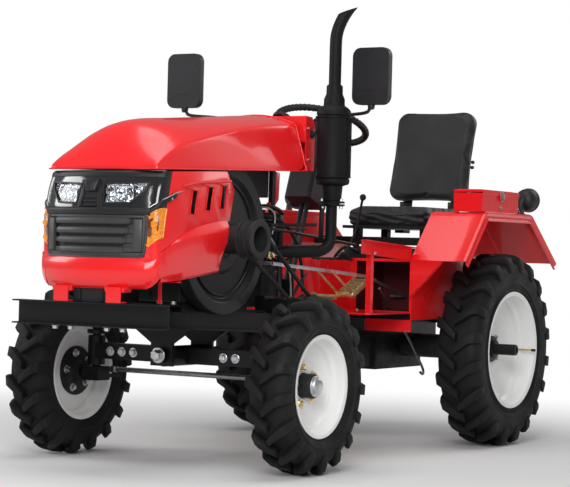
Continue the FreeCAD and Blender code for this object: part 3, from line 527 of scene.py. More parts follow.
def lenses():
    """Clear lamp glass, amber lens with a faint painted glow, and silvered surfaces."""
    clear_glass = new_finish("lens", (0.96, 0.98, 1.0), 0.03)
    shader_of(clear_glass).inputs["Transmission Weight"].default_value = 1.0
    shader_of(clear_glass).inputs["IOR"].default_value = 1.35
    relief(clear_glass, (clouds(clear_glass, 30.0, 1.0), 0.00005))
    amber = new_finish("amber_lens", (0.9, 0.27, 0.01), 0.12, coat=0.6)
    shader_of(amber).inputs["Transmission Weight"].default_value = 0.25
    # The amber lens is given a faint orange glow though it is not lit: painted light.
    shader_of(amber).inputs["Emission Color"].default_value = (1.0, 0.3, 0.0, 1.0)
    shader_of(amber).inputs["Emission Strength"].default_value = 0.12
    colour_between(amber, cells(amber, 120.0), (0.72, 0.15, 0.003), (0.95, 0.36, 0.02), 0.1, 0.6)
    relief(amber, (cells(amber, 120.0), 0.0008))
    silver = new_finish("mirror_silver", (0.9, 0.91, 0.93), 0.04, metal=1.0)
    relief(silver, (clouds(silver, 12.0, 1.0), 0.00003))
    bright = new_finish("chrome", (0.86, 0.87, 0.89), 0.12, metal=1.0)
    rough_between(bright, clouds(bright, 60.0), 0.07, 0.18)
    relief(bright, (clouds(bright, 300.0, 2.0), 0.00004))


def silver_flutes():
    """Lamp bowl: bright metal pressed in small facets."""
    bowl = new_finish("reflector", (0.88, 0.89, 0.91), 0.1, metal=1.0)
    facets = cells(bowl, 55.0)
    rough_between(bowl, facets, 0.06, 0.2)
    relief(bowl, (facets, 0.006), (clouds(bowl, 200.0, 1.0), 0.0001))


def tinted_lens(name, colour):
    """Coloured lens, ribbed on its inside."""
    lens = new_finish(name, colour, 0.12, coat=0.6)
    low, high = shade_of(colour, 0.7), shade_of(colour, 1.25)
    colour_between(lens, cells(lens, 150.0), low, high, 0.1, 0.6)
    relief(lens, (cells(lens, 150.0), 0.0006))


def make_finishes(colours):
    """All the finishes of the tractor."""
    enamel("red_paint", tuple(colours.red), 0.26, 0.35)
    enamel("black_paint", tuple(colours.black), 0.4, 0.05, 0.00012)
    enamel("white_paint", tuple(colours.white), 0.3, 0.35)
    enamel("shadow_red", (0.085, 0.004, 0.005), 0.6, 0.0)
    enamel("guard_black", (0.008, 0.008, 0.009), 0.55, 0.0, 0.00015)
    casting()
    rubber("tyre_rubber", tuple(colours.rubber), 0.55, 0.78, 0.00012)
    rubber("belt_rubber", (0.018, 0.018, 0.018), 0.6, 0.85, 0.0001)
    rubber("grip_rubber", (0.01, 0.01, 0.011), 0.38, 0.55, 0.00006)
    moulded("black_plastic", (0.014, 0.014, 0.016), 0.45, 0.0001)
    moulded("grille_plastic", (0.036, 0.036, 0.038), 0.45, 0.0001)
    moulded("deep_black", (0.008, 0.008, 0.009), 0.7, 0.0001)
    moulded("gloss_black", (0.01, 0.01, 0.012), 0.12, 0.00001, 60.0)
    vinyl()
    lenses()
    plain_metal("zinc", (0.62, 0.63, 0.65), 0.32)
    plain_metal("zinc_dark", (0.3, 0.3, 0.31), 0.42)
    plain_metal("flat_bar_grey", (0.5, 0.51, 0.52), 0.45)
    enamel("flywheel_black", (0.009, 0.009, 0.01), 0.36, 0.08, 0.0001)
    silver_flutes()
    tinted_lens("amber_deep", (0.13, 0.018, 0.001))
    tinted_lens("red_lens", (0.55, 0.008, 0.006))
    plain_metal("bare_steel", (0.36, 0.36, 0.37), 0.4, 0.00005)
    plain_metal("yellow_zinc", (0.62, 0.47, 0.24), 0.38, 0.00005)
    plain_metal("brass", (0.78, 0.62, 0.32), 0.25)
    shader_of(FINISHES["gloss_black"]).inputs["Coat Weight"].default_value = 0.8
    for name, level in DULL.items():
        shader_of(FINISHES[name]).inputs["Specular IOR Level"].default_value = level


NODE_FINISH = {
    "black_paint": (
        "main_frame", "front_crossbeam", "drawbar", "front_axle_beam", "steering_knuckle_left",
        "steering_knuckle_right", "seat_base", "exhaust_pipe", "muffler",
    ),
    "red_paint": (
        "nose_brackets", "nose_panel", "side_panels", "bonnet", "dash_cowl", "platform",
        "fender_left", "fender_right", "tool_box", "tool_box_lid", "fuel_tank",
    ),
    "bare_steel": ("tie_rod", "control_rods"),
    "casting": ("rear_transaxle", "engine_block", "flywheel", "belt_pulley", "clutch_pulley"),
    "black_plastic": (
        "battery_box", "steering_column", "rear_lamps", "mirror_left", "mirror_right",
    ),
    "grille_plastic": ("grille",),
    "gloss_black": ("headlight_band",),
    "amber_lens": ("indicators",),
    "lens": ("headlights",),
    "grip_rubber": ("steering_wheel",),
    "belt_rubber": ("drive_belts",),
    "yellow_zinc": ("pedals",),
    "zinc": ("gear_lever",),
    "tyre_rubber": ("front_tyre_left", "front_tyre_right", "rear_tyre_left", "rear_tyre_right"),
    "white_paint": ("front_wheel_left", "front_wheel_right", "rear_wheel_left", "rear_wheel_right"),
    "seat_vinyl": ("seat_cushion", "seat_back"),
}


def paint_nodes():
    """Every node that comes from the frame takes its finish."""
    for finish, names in NODE_FINISH.items():
        for name in names:
            paint_node(name, finish)


def paint_node(name, finish):
    """One finish in every material place of a node."""
    thing = NODES[name]
    if not thing.material_slots:
        thing.data.materials.append(None)
    for place in thing.material_slots:
        place.material = FINISHES[finish]


# ---------------------------------------------------------------- tyres and wheels


def turn_picked(angle, axis, centre):
    """Turn what is picked, anticlockwise seen from the axis' far end."""
    bpy.ops.transform.rotate(
        value=-angle, orient_axis=axis, orient_type="GLOBAL", center_override=Vector(centre)
    )


def tread_bar(name, stations, radius, width):
    """One bar of the tread, its section drawn from the middle of the tyre over the shoulder.

    A station is (across, round, out, lean, half height, width share), about an axle at the origin.
    """
    clear()
    bpy.ops.mesh.primitive_plane_add(size=1, rotation=(0, math.radians(90), 0))
    bar = added(name)
    with shaping(bar):
        select_all()
        last = None
        for station in stations:
            across, about_axle, out, lean, half, share = station
            at = (across, 0, out)
            if last is None:
                bpy.ops.transform.resize(value=(1, width * share, 2 * half), center_override=HUB)
                bpy.ops.transform.translate(value=at)
            else:
                turn_picked(last[1] / radius, "X", HUB)
                step = (across - last[0], 0, out - last[2])
                bpy.ops.transform.translate(value=step)
                bpy.ops.transform.resize(
                    value=(1, share / last[5], half / last[4]), center_override=at
                )
                turn_picked(math.radians(lean - last[3]), "Y", at)
            turn_picked(-about_axle / radius, "X", HUB)
            if station is not stations[-1]:
                bpy.ops.mesh.extrude_region_move(TRANSFORM_OT_translate={"value": (0, 0, 0)})
            last = station
        outward()
    return bar


def tyre_casing(name, radius, half, rim, bead, lug_high):
    """The carcass: beads, bulging sides with their rings, and the crown under the bars."""
    crown = radius - lug_high
    side = [
        (bead, rim - 0.009), (bead + 0.001, rim + 0.002), (bead + 0.009, rim + 0.006),
        (half - 0.012, rim + 0.015), (half - 0.007, rim + 0.026), (half - 0.003, rim + 0.028),
        (half - 0.003, rim + 0.034), (half - 0.004, rim + 0.036),
        (half - 0.001, (rim + crown) / 2 + 0.006), (half - 0.003, crown - 0.034),
        (half - 0.009, crown - 0.017), (half - 0.022, crown - 0.006),
        (half - 0.042, crown - 0.001),
    ]
    outline = [(-a, r) for a, r in side] + [(0, crown)] + side[::-1] + [(-bead, rim - 0.009)]
    return spun(name, outline, steps=96)


def treaded_tyre(name, radius, half, rim, bead, sizes, count):
    """A tyre with staggered bars on both halves, its axle through the origin along X."""
    front_radius = 0.286
    high, wide = sizes.bar_height, sizes.bar_width * (radius / front_radius) ** 0.5
    out = radius - high * 0.52
    stations = [
        (-0.006, 0, out, 0, high * 0.5, 0.8),
        (half * 0.3, half * 0.3, out, 0, high * 0.52, 1),
        (half * 0.62, half * 0.56, out - 0.002, 5, high * 0.52, 1.05),
        (half - 0.016, half * 0.66, out - 0.01, 34, high * 0.5, 1.15),
        (half - 0.01, half * 0.68, out - 0.028, 70, high * 0.38, 1.05),
        (half - 0.0075, half * 0.68, out - 0.052, 86, high * 0.2, 0.85),
    ]
    pattern = ease(tread_bar(name + "_bar", stations, radius, wide), 0.0022, 2, 25)
    twin = flipped(pattern, name + "_bar_right")
    pitch = TURN / count
    bars = [copied(bar, Matrix.Rotation(pitch * (n + offset), 4, "X"))
            for bar, offset in ((pattern, 0), (twin, 0.5)) for n in range(count)]
    discard(pattern)
    discard(twin)
    casing = tyre_casing(name, radius, half, rim, bead, high)
    return shade(joined(name, [casing, *bars]), 32)


def on_both_axles(thing, name, end, finish, stands_for=None):
    """Put a wheel piece made about the origin on the left axle, and its mirror on the right."""
    left = copied(thing, Matrix.Translation(mid(end + "_tyre_left")), name + "_left")
    discard(thing)
    for piece, (word, _) in zip((left, flipped(left, name + "_right")), SIDES):
        nodes = [f"{end}_{stands_for}_{word}"] if stands_for else []
        fit(piece, f"wheel_{end}_{word}", finish, *nodes)


def turned(name, end, finish, outline, steps=64, soft=None, stands_for=None):
    """A spun wheel piece on both axles of one end."""
    piece = spun(name, outline, steps=steps)
    if soft:
        ease(piece, soft, 2, 28)
    on_both_axles(shade(piece, 50), name, end, finish, stands_for)


def hex_bolt(name, size, high, washer=True):
    """A bolt head standing on z = 0 along +Z, with its washer and chamfered top."""
    head = drum(name, HUB, (0, 0, high), size / 2, 6)
    with shaping(head):
        pick(lambda c, n: n.z > 0.9)
        bpy.ops.mesh.inset(thickness=size * 0.1, depth=high * 0.12)
        pick(lambda c, n: n.z > 0.9 and c.z > high)
        bpy.ops.mesh.inset(thickness=size * 0.12, depth=0)
    if not washer:
        return head
    ring = spun(name + "_washer", [(size * a, size * r) for a, r in (
        (0, 0.3), (0, 0.72), (0.08, 0.74), (0.12, 0.68), (0.12, 0.3), (0, 0.3))], HUB, "Z", 20)
    return joined(name, [head, ring])


def both_sides(*places):
    """The same (point, direction) places on both sides of the tractor."""
    return [((s * x, y, z), (s * way[0], way[1], way[2]))
            for s in (-1, 1) for (x, y, z), way in places]


def bolts(name, places, size, high, body="chassis", washer=True):
    """A set of like bolts at (point, direction) places, as one piece."""
    pattern = hex_bolt(name + "_one", size, high, washer)
    piece = repeated(name, pattern, [placed(way, at) for at, way in places])
    return fit(shade(piece, 30), body, "zinc")


def wheel_bolts(name, end, across, out, size, finish, start, outward_is=X):
    """Five bolts in a ring on the wheel's disc, on both sides of the tractor."""
    pattern = moved(hex_bolt(name, size, size * 0.62), placed(outward_is, (across, 0, out)))
    ring = repeated(name, pattern, [
        Matrix.Rotation(TURN * n / 5 + math.radians(start), 4, "X") for n in range(5)])
    on_both_axles(shade(ring, 30), name, end, finish)


def front_wheel_pieces():
    """White dish, black hub with a silver cap, five bolts and a stub of valve."""
    low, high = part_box("front_wheel_left")
    half, edge = 0.058, (high.z - low.z) / 2
    turned("front_rim", "front", "white_paint", [
        (-half, edge), (-half + 0.004, edge), (-half + 0.007, edge - 0.01),
        (-0.026, edge - 0.012), (-0.02, edge - 0.026), (0.014, edge - 0.026),
        (0.022, edge - 0.012), (half - 0.007, edge - 0.01), (half - 0.004, edge),
        (half, edge), (half, edge - 0.004), (half - 0.003, edge - 0.016),
        (0.026, edge - 0.018), (0.015, edge - 0.03), (0, edge - 0.03),
        (-0.003, edge - 0.033), (-0.01, 0.108), (-0.0145, 0.086), (-0.012, 0.082),
        (-0.012, 0.046), (-0.014, 0.041), (-0.0175, 0.041), (-0.0175, 0.087),
        (-0.015, 0.112), (-0.006, edge - 0.03), (-0.022, edge - 0.03),
        (-0.029, edge - 0.018), (-half + 0.003, edge - 0.016), (-half, edge - 0.004),
        (-half, edge)], 96, 0.0015, "wheel")
    turned("front_hub", "front", "casting", [
        (-0.058, 0.016), (-0.058, 0.034), (-0.03, 0.036), (-0.028, 0.04), (-0.028, 0.085),
        (-0.018, 0.085), (-0.018, 0.0397), (0.026, 0.0397), (0.03, 0.038), (0.032, 0.033),
        (0.032, 0.016), (-0.058, 0.016)], soft=0.0012)
    turned("hub_cap", "front", "zinc", [
        (0.03, 0), (0.03, 0.034), (0.034, 0.0345), (0.036, 0.033), (0.037, 0.03),
        (0.042, 0.0285), (0.046, 0.025), (0.0485, 0.019), (0.05, 0.01), (0.0505, 0)])
    wheel_bolts("front_wheel_bolts", "front", -0.012, 0.0625, 0.021, "brass", 12)
    wheel_bolts("front_flange_bolts", "front", -0.028, 0.0625, 0.019, "zinc", 12, -X)
    valve = spun("front_valve", [
        (0, 0), (0, 0.0065), (0.006, 0.006), (0.01, 0.0042), (0.024, 0.004),
        (0.026, 0.005), (0.036, 0.005), (0.038, 0.0035), (0.038, 0)], steps=20)
    lean = Matrix.Translation((0.004, -0.136, 0.02)) @ Matrix.Rotation(math.radians(-50), 4, "Z")
    on_both_axles(shade(moved(valve, lean)), "front_valve", "front", "grip_rubber")


def rear_wheel_pieces():
    """White dish, bolted axle flange and a long brass valve stem."""
    half, edge = 0.081, 0.222
    turned("rear_rim", "rear", "white_paint", [
        (-half, edge), (-half + 0.004, edge), (-half + 0.008, edge - 0.01),
        (-0.036, edge - 0.013), (-0.028, edge - 0.028), (0.016, edge - 0.028),
        (0.024, edge - 0.013), (half - 0.008, edge - 0.01), (half - 0.004, edge),
        (half, edge), (half, edge - 0.004), (half - 0.004, edge - 0.017),
        (0.028, edge - 0.019), (0.018, edge - 0.032), (0.004, edge - 0.032),
        (0, edge - 0.036), (-0.014, 0.15), (-0.02, 0.12), (-0.0185, 0.114),
        (-0.0185, 0.058), (-0.02, 0.053), (-0.0235, 0.053), (-0.0235, 0.121),
        (-0.018, 0.154), (-0.003, edge - 0.032), (-0.03, edge - 0.032),
        (-0.039, edge - 0.019), (-half + 0.004, edge - 0.017), (-half, edge - 0.004),
        (-half, edge)], 112, 0.0015, "wheel")
    low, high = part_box("rear_wheel_left")
    centre = mid("rear_tyre_left").x
    outer, inner = high.x - centre, low.x - centre
    turned("axle_flange", "rear", "black_paint", [
        (inner, 0), (inner, 0.021), (-0.062, 0.021), (-0.062, 0.042), (-0.036, 0.042),
        (-0.036, 0.085), (-0.0245, 0.085), (-0.0245, 0.0495), (-0.006, 0.0495),
        (-0.004, 0.047), (-0.004, 0.034), (0.008, 0.034), (0.008, 0.021), (outer - 0.003, 0.021),
        (outer, 0.018), (outer, 0.012), (outer - 0.006, 0.01), (outer - 0.006, 0)], soft=0.001)
    wheel_bolts("rear_wheel_bolts", "rear", -0.0185, 0.068, 0.016, "zinc", 20)
    for name, x, finish, outline in (
        ("rear_valve", 0.01, "brass", [
            (0, 0), (0, 0.0075), (0.004, 0.0075), (0.005, 0.0042), (0.06, 0.0036),
            (0.076, 0.0036), (0.076, 0)]),
        ("rear_valve_cap", 0.078, "grip_rubber", [
            (0, 0), (0, 0.0052), (0.014, 0.0052), (0.016, 0.004), (0.016, 0)]),
    ):
        piece = spun(name, outline, (x, 0.178, -0.006), "X", 16)
        on_both_axles(shade(piece), name, "rear", finish)


def tyres(sizes):
    """Four treaded tyres over their casings."""
    for end, rim, half_rim, count in (
        ("front", 0.168, 0.058, sizes.front_bars), ("rear", 0.222, 0.081, sizes.rear_bars),
    ):
        low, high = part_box(end + "_tyre_left")
        radius, half = (high.z - low.z) / 2, (high.x - low.x) / 2
        tyre = treaded_tyre(end + "_tread", radius, half, rim, half_rim - 0.008, sizes, count)
        on_both_axles(tyre, end + "_tread", end, "tyre_rubber", "tyre")


# ---------------------------------------------------------------- sheet and outlines


def slab(name, points, thick):
    """A flat shape of any outline, with its thickness as a vector."""
    piece = drawn(name, points, filled=True)
    with shaping(piece):
        select_all()
        bpy.ops.mesh.extrude_region_move(TRANSFORM_OT_translate={"value": Vector(thick)})
        tidy_mesh()
    return piece


def swept(name, profile, moves):
    """A section carried along straight runs and bends, as sheet metal is folded."""
    piece = drawn(name, profile)
    with shaping(piece, "EDGE"):
        select_all()
        for move in moves:
            if isinstance(move, Vector):
                bpy.ops.mesh.extrude_region_move(TRANSFORM_OT_translate={"value": move})
            else:
                centre, axis, angle, steps = move
                bpy.ops.mesh.spin(steps=steps, angle=-angle, center=centre, axis=axis)
        tidy_mesh()
    return piece


def bridged(name, lines):
    """A sheet through lines that are drawn one beside the other."""
    sheet = joined(name, [drawn("line", line) for line in lines])
    with shaping(sheet, "EDGE"):
        select_all()
        bpy.ops.mesh.bridge_edge_loops()
        tidy_mesh()
    return sheet


def close_ends(thing):
    """Fill the open ends of a turned piece."""
    with shaping(thing, "EDGE"):
        bpy.ops.mesh.select_non_manifold()
        bpy.ops.mesh.edge_face_add()
        tidy_mesh()
    return thing


def beaded(line, name, radius, sides):
    """A line of edges made into a round bead."""
    take(line)
    bpy.ops.object.convert(target="CURVE")
    curve = bpy.context.object
    curve.data.bevel_depth = radius
    curve.data.bevel_resolution = sides
    bpy.ops.object.convert(target="MESH")
    return added(name)


def node_copy(node, name):
    """A free copy of a node's own mesh with its doubles merged."""
    original = NODES[node]
    hidden = original.hide_viewport
    original.hide_viewport = False
    take(original)
    bpy.ops.object.duplicate(linked=False)
    original.hide_viewport = hidden
    piece = named(bpy.context.object, name)
    piece.hide_render = False
    take(piece)
    bpy.ops.object.parent_clear(type="CLEAR_KEEP_TRANSFORM")
    settle(piece)
    with shaping(piece):
        select_all()
        bpy.ops.mesh.remove_doubles(threshold=0.00003)
        bpy.ops.mesh.customdata_custom_splitnormals_clear()
    return piece


def merge_flat(degrees=0.6):
    """Make one face of those that lie flat beside each other, in edit mode."""
    select_all()
    bpy.ops.mesh.dissolve_limited(angle_limit=math.radians(degrees))


def softened(node, finish, width, segments=2, angle=30, body="chassis"):
    """The node's own shape with its doubles merged and its edges rounded."""
    piece = node_copy(node, node + "_shell")
    with shaping(piece):
        merge_flat()
        outward()
    if width:
        ease(piece, width, segments, angle)
    shade(piece)
    if width:
        modify(piece, "WEIGHTED_NORMAL", keep_sharp=True)
    return fit(piece, body, finish, node)


def skin(node, name, wanted):
    """The outer faces of a node, picked by a test, as a thin sheet to work on."""
    piece = node_copy(node, name)
    with shaping(piece):
        pick(wanted)
        bpy.ops.mesh.select_all(action="INVERT")
        bpy.ops.mesh.delete(type="FACE")
    return piece


def wire_of_edge(sheet, name, radius):
    """A round bead along the free edge of a sheet; the sheet itself is used up."""
    with shaping(sheet, "EDGE"):
        bpy.ops.mesh.select_non_manifold()
        bpy.ops.mesh.select_all(action="INVERT")
        bpy.ops.mesh.delete(type="EDGE_FACE")
    return beaded(sheet, name, radius, 3)


# ---------------------------------------------------------------- nose


NOSE_BEND = 0.4106
NOSE_FACE = -1.193
GRILLE_MIDDLE = 0.7545
LOUVRES = ((0.7095, 0.114), (0.7395, 0.121), (0.7695, 0.128), (0.7995, 0.135))
LAMP_EDGE = (
    (0.04, 0.914), (0.112, 0.917), (0.184, 0.92), (0.179, 0.906), (0.174, 0.892),
    (0.155, 0.872), (0.136, 0.852), (0.093, 0.8505), (0.05, 0.849), (0.045, 0.8815),
    (0.04, 0.914),
)


def nose_front(z):
    """How far forward the middle of the nose is, at a height."""
    levels = ((0.57, -1.178), (0.64, -1.19), (0.7, -1.193), (0.82, -1.19), (0.9, -1.176),
              (0.955, -1.15))
    for (z0, y0), (z1, y1) in zip(levels, levels[1:]):
        if z <= z1:
            return y0 + (y1 - y0) * (z - z0) / (z1 - z0)
    return levels[-1][1]


def on_nose(x, z, proud=0.0):
    """A point on the front of the nose, or a little proud of it."""
    return (x, nose_front(z) + NOSE_BEND - math.sqrt(NOSE_BEND ** 2 - x ** 2) - proud, z)


def nose_bar(name, z, profile, start, end, front=None):
    """A bar on the nose between two places: a (height, forward) profile bent along its curve."""
    front = nose_front(z) if front is None else front
    centre = Vector((0, front + NOSE_BEND, z))
    first, last = math.asin(start / NOSE_BEND), math.asin(end / NOSE_BEND)
    outline = [(up, NOSE_BEND + out) for up, out in profile]
    bar = close_ends(spun(name, outline, centre, "Z", max(3, round(40 * (last - first))),
                          last - first))
    middle = sum((v.co - centre for v in bar.data.vertices), Vector())
    now = math.atan2(middle.x, -middle.y)
    return moved(bar, about(centre, "Z", (first + last) / 2 - now))


def louvre_end(side, z, reach):
    """The slanted end of one louvre, falling back to the frame."""
    y = on_nose(reach, GRILLE_MIDDLE)[1] - nose_front(GRILLE_MIDDLE) + NOSE_FACE
    end = slab("louvre_end", [(side * reach, y + back, z + up) for back, up in (
        (-0.0075, -0.004), (-0.004, 0.008), (0.006, 0.0125), (0.006, -0.0125),
        (-0.004, -0.0105))], (side * 0.013, 0.006, 0))
    with shaping(end):
        pick(lambda c, n: n.x * side > 0.7)
        bpy.ops.transform.resize(value=(1, 0.3, 0.45), center_override=(0, y + 0.01, z - 0.004))
    return end


def grille():
    """Rounded louvres with tapered ends between broad side frames, in a raised border."""
    softened("grille", "grille_plastic", 0.0025, 3)
    section = [
        (-0.0125, -0.009), (-0.0125, 0.001), (-0.01, 0.006), (-0.004, 0.0085),
        (0.003, 0.0075), (0.009, 0.003), (0.0125, -0.004), (0.0125, -0.009), (-0.0125, -0.009)]
    louvres = [nose_bar("louvre", z, section, -reach, reach, NOSE_FACE) for z, reach in LOUVRES]
    louvres += [louvre_end(side, z, reach) for z, reach in LOUVRES for side in (-1, 1)]
    made("grille_louvres", louvres, "grille_plastic", 50)
    plate = [(-0.052, -0.008), (-0.052, 0.0035), (-0.048, 0.0055), (0.048, 0.0055),
             (0.052, 0.0035), (0.052, -0.008), (-0.052, -0.008)]
    cheek = nose_bar("side_plate", GRILLE_MIDDLE, plate, 0.15, 0.177, NOSE_FACE)
    pair_made("grille_cheeks", [cheek], "grille_plastic", soft=(0.002,))
    corners = [(-0.17, 0.686), (0.17, 0.686), (0.184, 0.698), (0.191, 0.822), (-0.191, 0.822),
               (-0.184, 0.698)]
    line = []
    for (x0, z0), (x1, z1) in zip(corners, corners[1:] + corners[:1]):
        steps = 12 if abs(x1 - x0) > 0.1 else 2
        line += [on_nose(x0 + (x1 - x0) * n / steps, z0 + (z1 - z0) * n / steps, 0.001)
                 for n in range(steps)]
    made("grille_border", [tube("border", line, 0.0052, 3, closed=True)], "grille_plastic", 60)


def headlight_band():
    """Gloss black surround with its ledge, centre block, cheeks and lower bar."""
    softened("headlight_band", "gloss_black", 0.0022, 3)
    ledge = nose_bar("band_ledge", 0.9445, [
        (-0.0095, -0.012), (-0.01, 0.004), (-0.0075, 0.0075), (0.006, 0.0035),
        (0.0095, -0.003), (0.0095, -0.012), (-0.0095, -0.012)], -0.217, 0.217)
    made("band_ledge", [ledge], "black_plastic", soft=(0.0022, 3))
    front = nose_front(0.905)
    divider = slab("lamp_divider", [(x, front + 0.006, z) for x, z in (
        (-0.029, 0.926), (0.029, 0.926), (0.018, 0.888), (-0.018, 0.888))], (0, -0.016, 0))
    inset_facing(divider, -Y, (0.005, 0), (0.0015, -0.002))
    moved(divider, about((0, front, 0.907), "X", math.radians(-14)))
    ease(divider, 0.0012)
    rib = [(-0.0045, -0.01), (-0.0045, 0.003), (-0.001, 0.007), (0.0035, 0.004),
           (0.0045, -0.01), (-0.0045, -0.01)]
    ribs = [nose_bar("short_rib", z, rib, -half, half)
            for z, half in ((0.845, 0.027), (0.858, 0.024), (0.871, 0.021))]
    wedge = slab("lamp_wedge", [on_nose(x, z, -0.004) for x, z in (
        (0.033, 0.928), (0.047, 0.928), (0.041, 0.88), (0.05, 0.838), (0.032, 0.838),
        (0.026, 0.88))], (0, -0.011, 0))
    wedges = pair_of("lamp_wedge", ease(wedge, 0.0015))
    made("lamp_centre", [divider, *ribs, wedges], "black_plastic")
    bar = nose_bar("band_foot", 0.829, [
        (-0.013, -0.01), (-0.013, 0.004), (-0.0095, 0.0085), (0.004, 0.0095),
        (0.011, 0.005), (0.013, -0.01), (-0.013, -0.01)], -0.196, 0.196)
    wing = tube("wing", [on_nose(x, z) for x, z in (
        (0.19, 0.828), (0.208, 0.838), (0.2215, 0.858))]
        + [(0.2262, -1.078, 0.872), (0.2262, -1.05, 0.884)], 0.0085, 4)
    made("band_foot", [ease(bar, 0.002), pair_of("wing", wing)], "black_plastic", 45)
    trim = tube("trim", [
        on_nose(0.196, 0.842, 0.0085), on_nose(0.212, 0.856, 0.0075), (0.2325, -1.095, 0.876),
        (0.2325, -1.07, 0.884), (0.2285, -1.045, 0.892), (0.2272, -1.01, 0.897)], 0.0017, 3)
    pair_made("band_trim", [trim], "zinc", 60)
    frame_of_lamp = skin("headlights", "lamp_trim", lambda c, n: n.y < -0.3)
    modify(frame_of_lamp, "SOLIDIFY", thickness=0.01, offset=0.0, use_even_offset=True)
    with shaping(frame_of_lamp):
        merge_flat(2)
        pick(lambda c, n: n.y < -0.3)
        bpy.ops.mesh.inset(thickness=0.005, depth=0)
        bpy.ops.mesh.delete(type="FACE")
        pick(lambda c, n: n.y > 0.3)
        bpy.ops.mesh.delete(type="FACE")
    modify(frame_of_lamp, "SOLIDIFY", thickness=0.002, offset=0.0)
    made("lamp_trim", [frame_of_lamp], "black_plastic")


def lamp_ring(shrink, back):
    """The outline of a headlight, made smaller about its middle and set back."""
    return [Vector(on_nose(0.112 + (x - 0.112) * shrink, 0.887 + (z - 0.887) * shrink)) + Y * back
            for x, z in LAMP_EDGE]


def headlights():
    """Clear lenses over silvered bowls, each with a bulb shield and a reflector fin."""
    lens = skin("headlights", "lamp_lenses", lambda c, n: n.y < -0.3)
    modify(lens, "SOLIDIFY", thickness=0.0022, offset=-1.0)
    made("lamp_lenses", [lens], "lens", nodes=["headlights"])
    rings = [drawn("bowl", lamp_ring(*how)) for how in ((0.97, 0.006), (0.9, 0.024), (0.55, 0.03))]
    for ring in rings:
        with shaping(ring, "EDGE"):
            select_all()
            bpy.ops.mesh.remove_doubles(threshold=0.0001)
    bowl = joined("bowl", rings)
    with shaping(bowl, "EDGE"):
        select_all()
        bpy.ops.mesh.bridge_edge_loops()
    modify(bowl, "SUBSURF", levels=1, render_levels=1, subdivision_type="SIMPLE")
    modify(bowl, "SOLIDIFY", thickness=0.0012, offset=0.0)
    back = slab("back", lamp_ring(0.6, 0.03)[:-1], (0, 0.0015, 0))
    made("lamp_bowls", [pair_of("bowl", bowl), pair_of("back", back)], "reflector", 30)
    x, z = 0.108, 0.886
    y = on_nose(x, z)[1]
    shield = spun("bulb_shield", [
        (-0.014, 0), (-0.014, 0.007), (-0.01, 0.0105), (-0.002, 0.0125), (0.014, 0.0135),
        (0.014, 0.011), (0, 0.01), (0, 0)], (x, y + 0.022, z), "Y", 28)
    fins = [block("fin", (x + x0, y + y0, z + z0), (x + x1, y + y1, z + z1))
            for x0, y0, z0, x1, y1, z1 in (
                (0.03, 0.01, -0.02, 0.034, 0.034, 0.022),
                (-0.036, 0.006, -0.024, -0.032, 0.032, 0.024),
                (-0.034, 0.012, 0.019, 0.034, 0.034, 0.022))]
    pair_made("lamp_bulbs", [shield, *fins], "chrome", soft=(0.0008,))


def indicators():
    """Amber corner lenses with a raised border, a darker sunk middle and a bulb."""
    def outside(c, n):
        return n.y < -0.25 or n.x * (1 if c.x > 0 else -1) > 0.9
    softened("indicators", "amber_lens", 0.0015)
    rim = wire_of_edge(skin("indicators", "amber_border", outside), "amber_border", 0.003)
    made("amber_border", [rim], "amber_lens", 50)
    inner = slab("amber_inner", [on_nose(x, z, 0.005) for x, z in (
        (0.188, 0.757), (0.199, 0.75), (0.2215, 0.772), (0.2215, 0.82), (0.196, 0.804))],
        (0, 0.003, 0))
    pair_made("amber_inner", [inner], "amber_deep", soft=(0.001,))
    bulb = drum("bulb", on_nose(0.208, 0.79, 0.0085), on_nose(0.208, 0.79, -0.002),
                0.0105, 24, 0.0125)
    pair_made("amber_bulb", [ease(bulb, 0.0016, 3)], "amber_lens")


def lip_corner(side):
    """The rounded corner where the lip of the nose turns into the side sheet."""
    rows = []
    for x, back, low, high, proud in (
        (0.186, 0, 0.589, 0.69, 0.015), (0.202, 0, 0.597, 0.692, 0.014),
        (0.215, 0, 0.61, 0.697, 0.0115), (0.224, 0.002, 0.626, 0.704, 0.008),
        (0.229, 0.012, 0.64, 0.712, 0.004), (0.2295, 0.034, 0.645, 0.718, 0),
    ):
        base = on_nose(min(x, 0.226), 0.65)[1] + back + 0.006
        rows.append([(side * x, base - (proud + 0.006) * math.sin(math.pi * n / 8) ** 0.5,
                      low + (high - low) * n / 8) for n in range(8)])
        rows[-1].append((side * x, base - (proud + 0.006) * math.sin(math.pi) ** 0.5, high))
    corner = bridged("lip_corner", rows)
    modify(corner, "SOLIDIFY", thickness=0.002, offset=-1.0 if side > 0 else 1.0)
    with shaping(corner):
        outward()
    return corner


def nose():
    """All that is on the nose, with its red lip and the pieces under it."""
    softened("nose_panel", "red_paint", 0.006, 4)
    headlight_band()
    headlights()
    grille()
    indicators()
    bolts("band_screws", both_sides(((0.2305, -1.076, 0.871), X)), 0.009, 0.004, washer=False)
    lip = nose_bar("nose_lip", 0.64, [
        (0.05, -0.008), (0.05, 0), (0.0465, 0.0055), (0.039, 0.0105), (0.025, 0.0138),
        (0.006, 0.015), (-0.014, 0.0138), (-0.031, 0.0095), (-0.043, 0.003),
        (-0.051, -0.006), (-0.052, -0.02), (0.05, -0.02), (0.05, -0.008)], -0.186, 0.186, -1.19)
    made("nose_lip", [lip, *[lip_corner(side) for side in (-1, 1)]], "red_paint", 50)
    foot = slab("foot", [(x, -1.186, z) for x, z in (
        (0.06, 0.594), (0.142, 0.594), (0.136, 0.577), (0.066, 0.577))], (0, 0.04, 0))
    pair_made("under_lip", [foot], "red_paint", soft=(0.002,))


# ---------------------------------------------------------------- side panels and bonnet


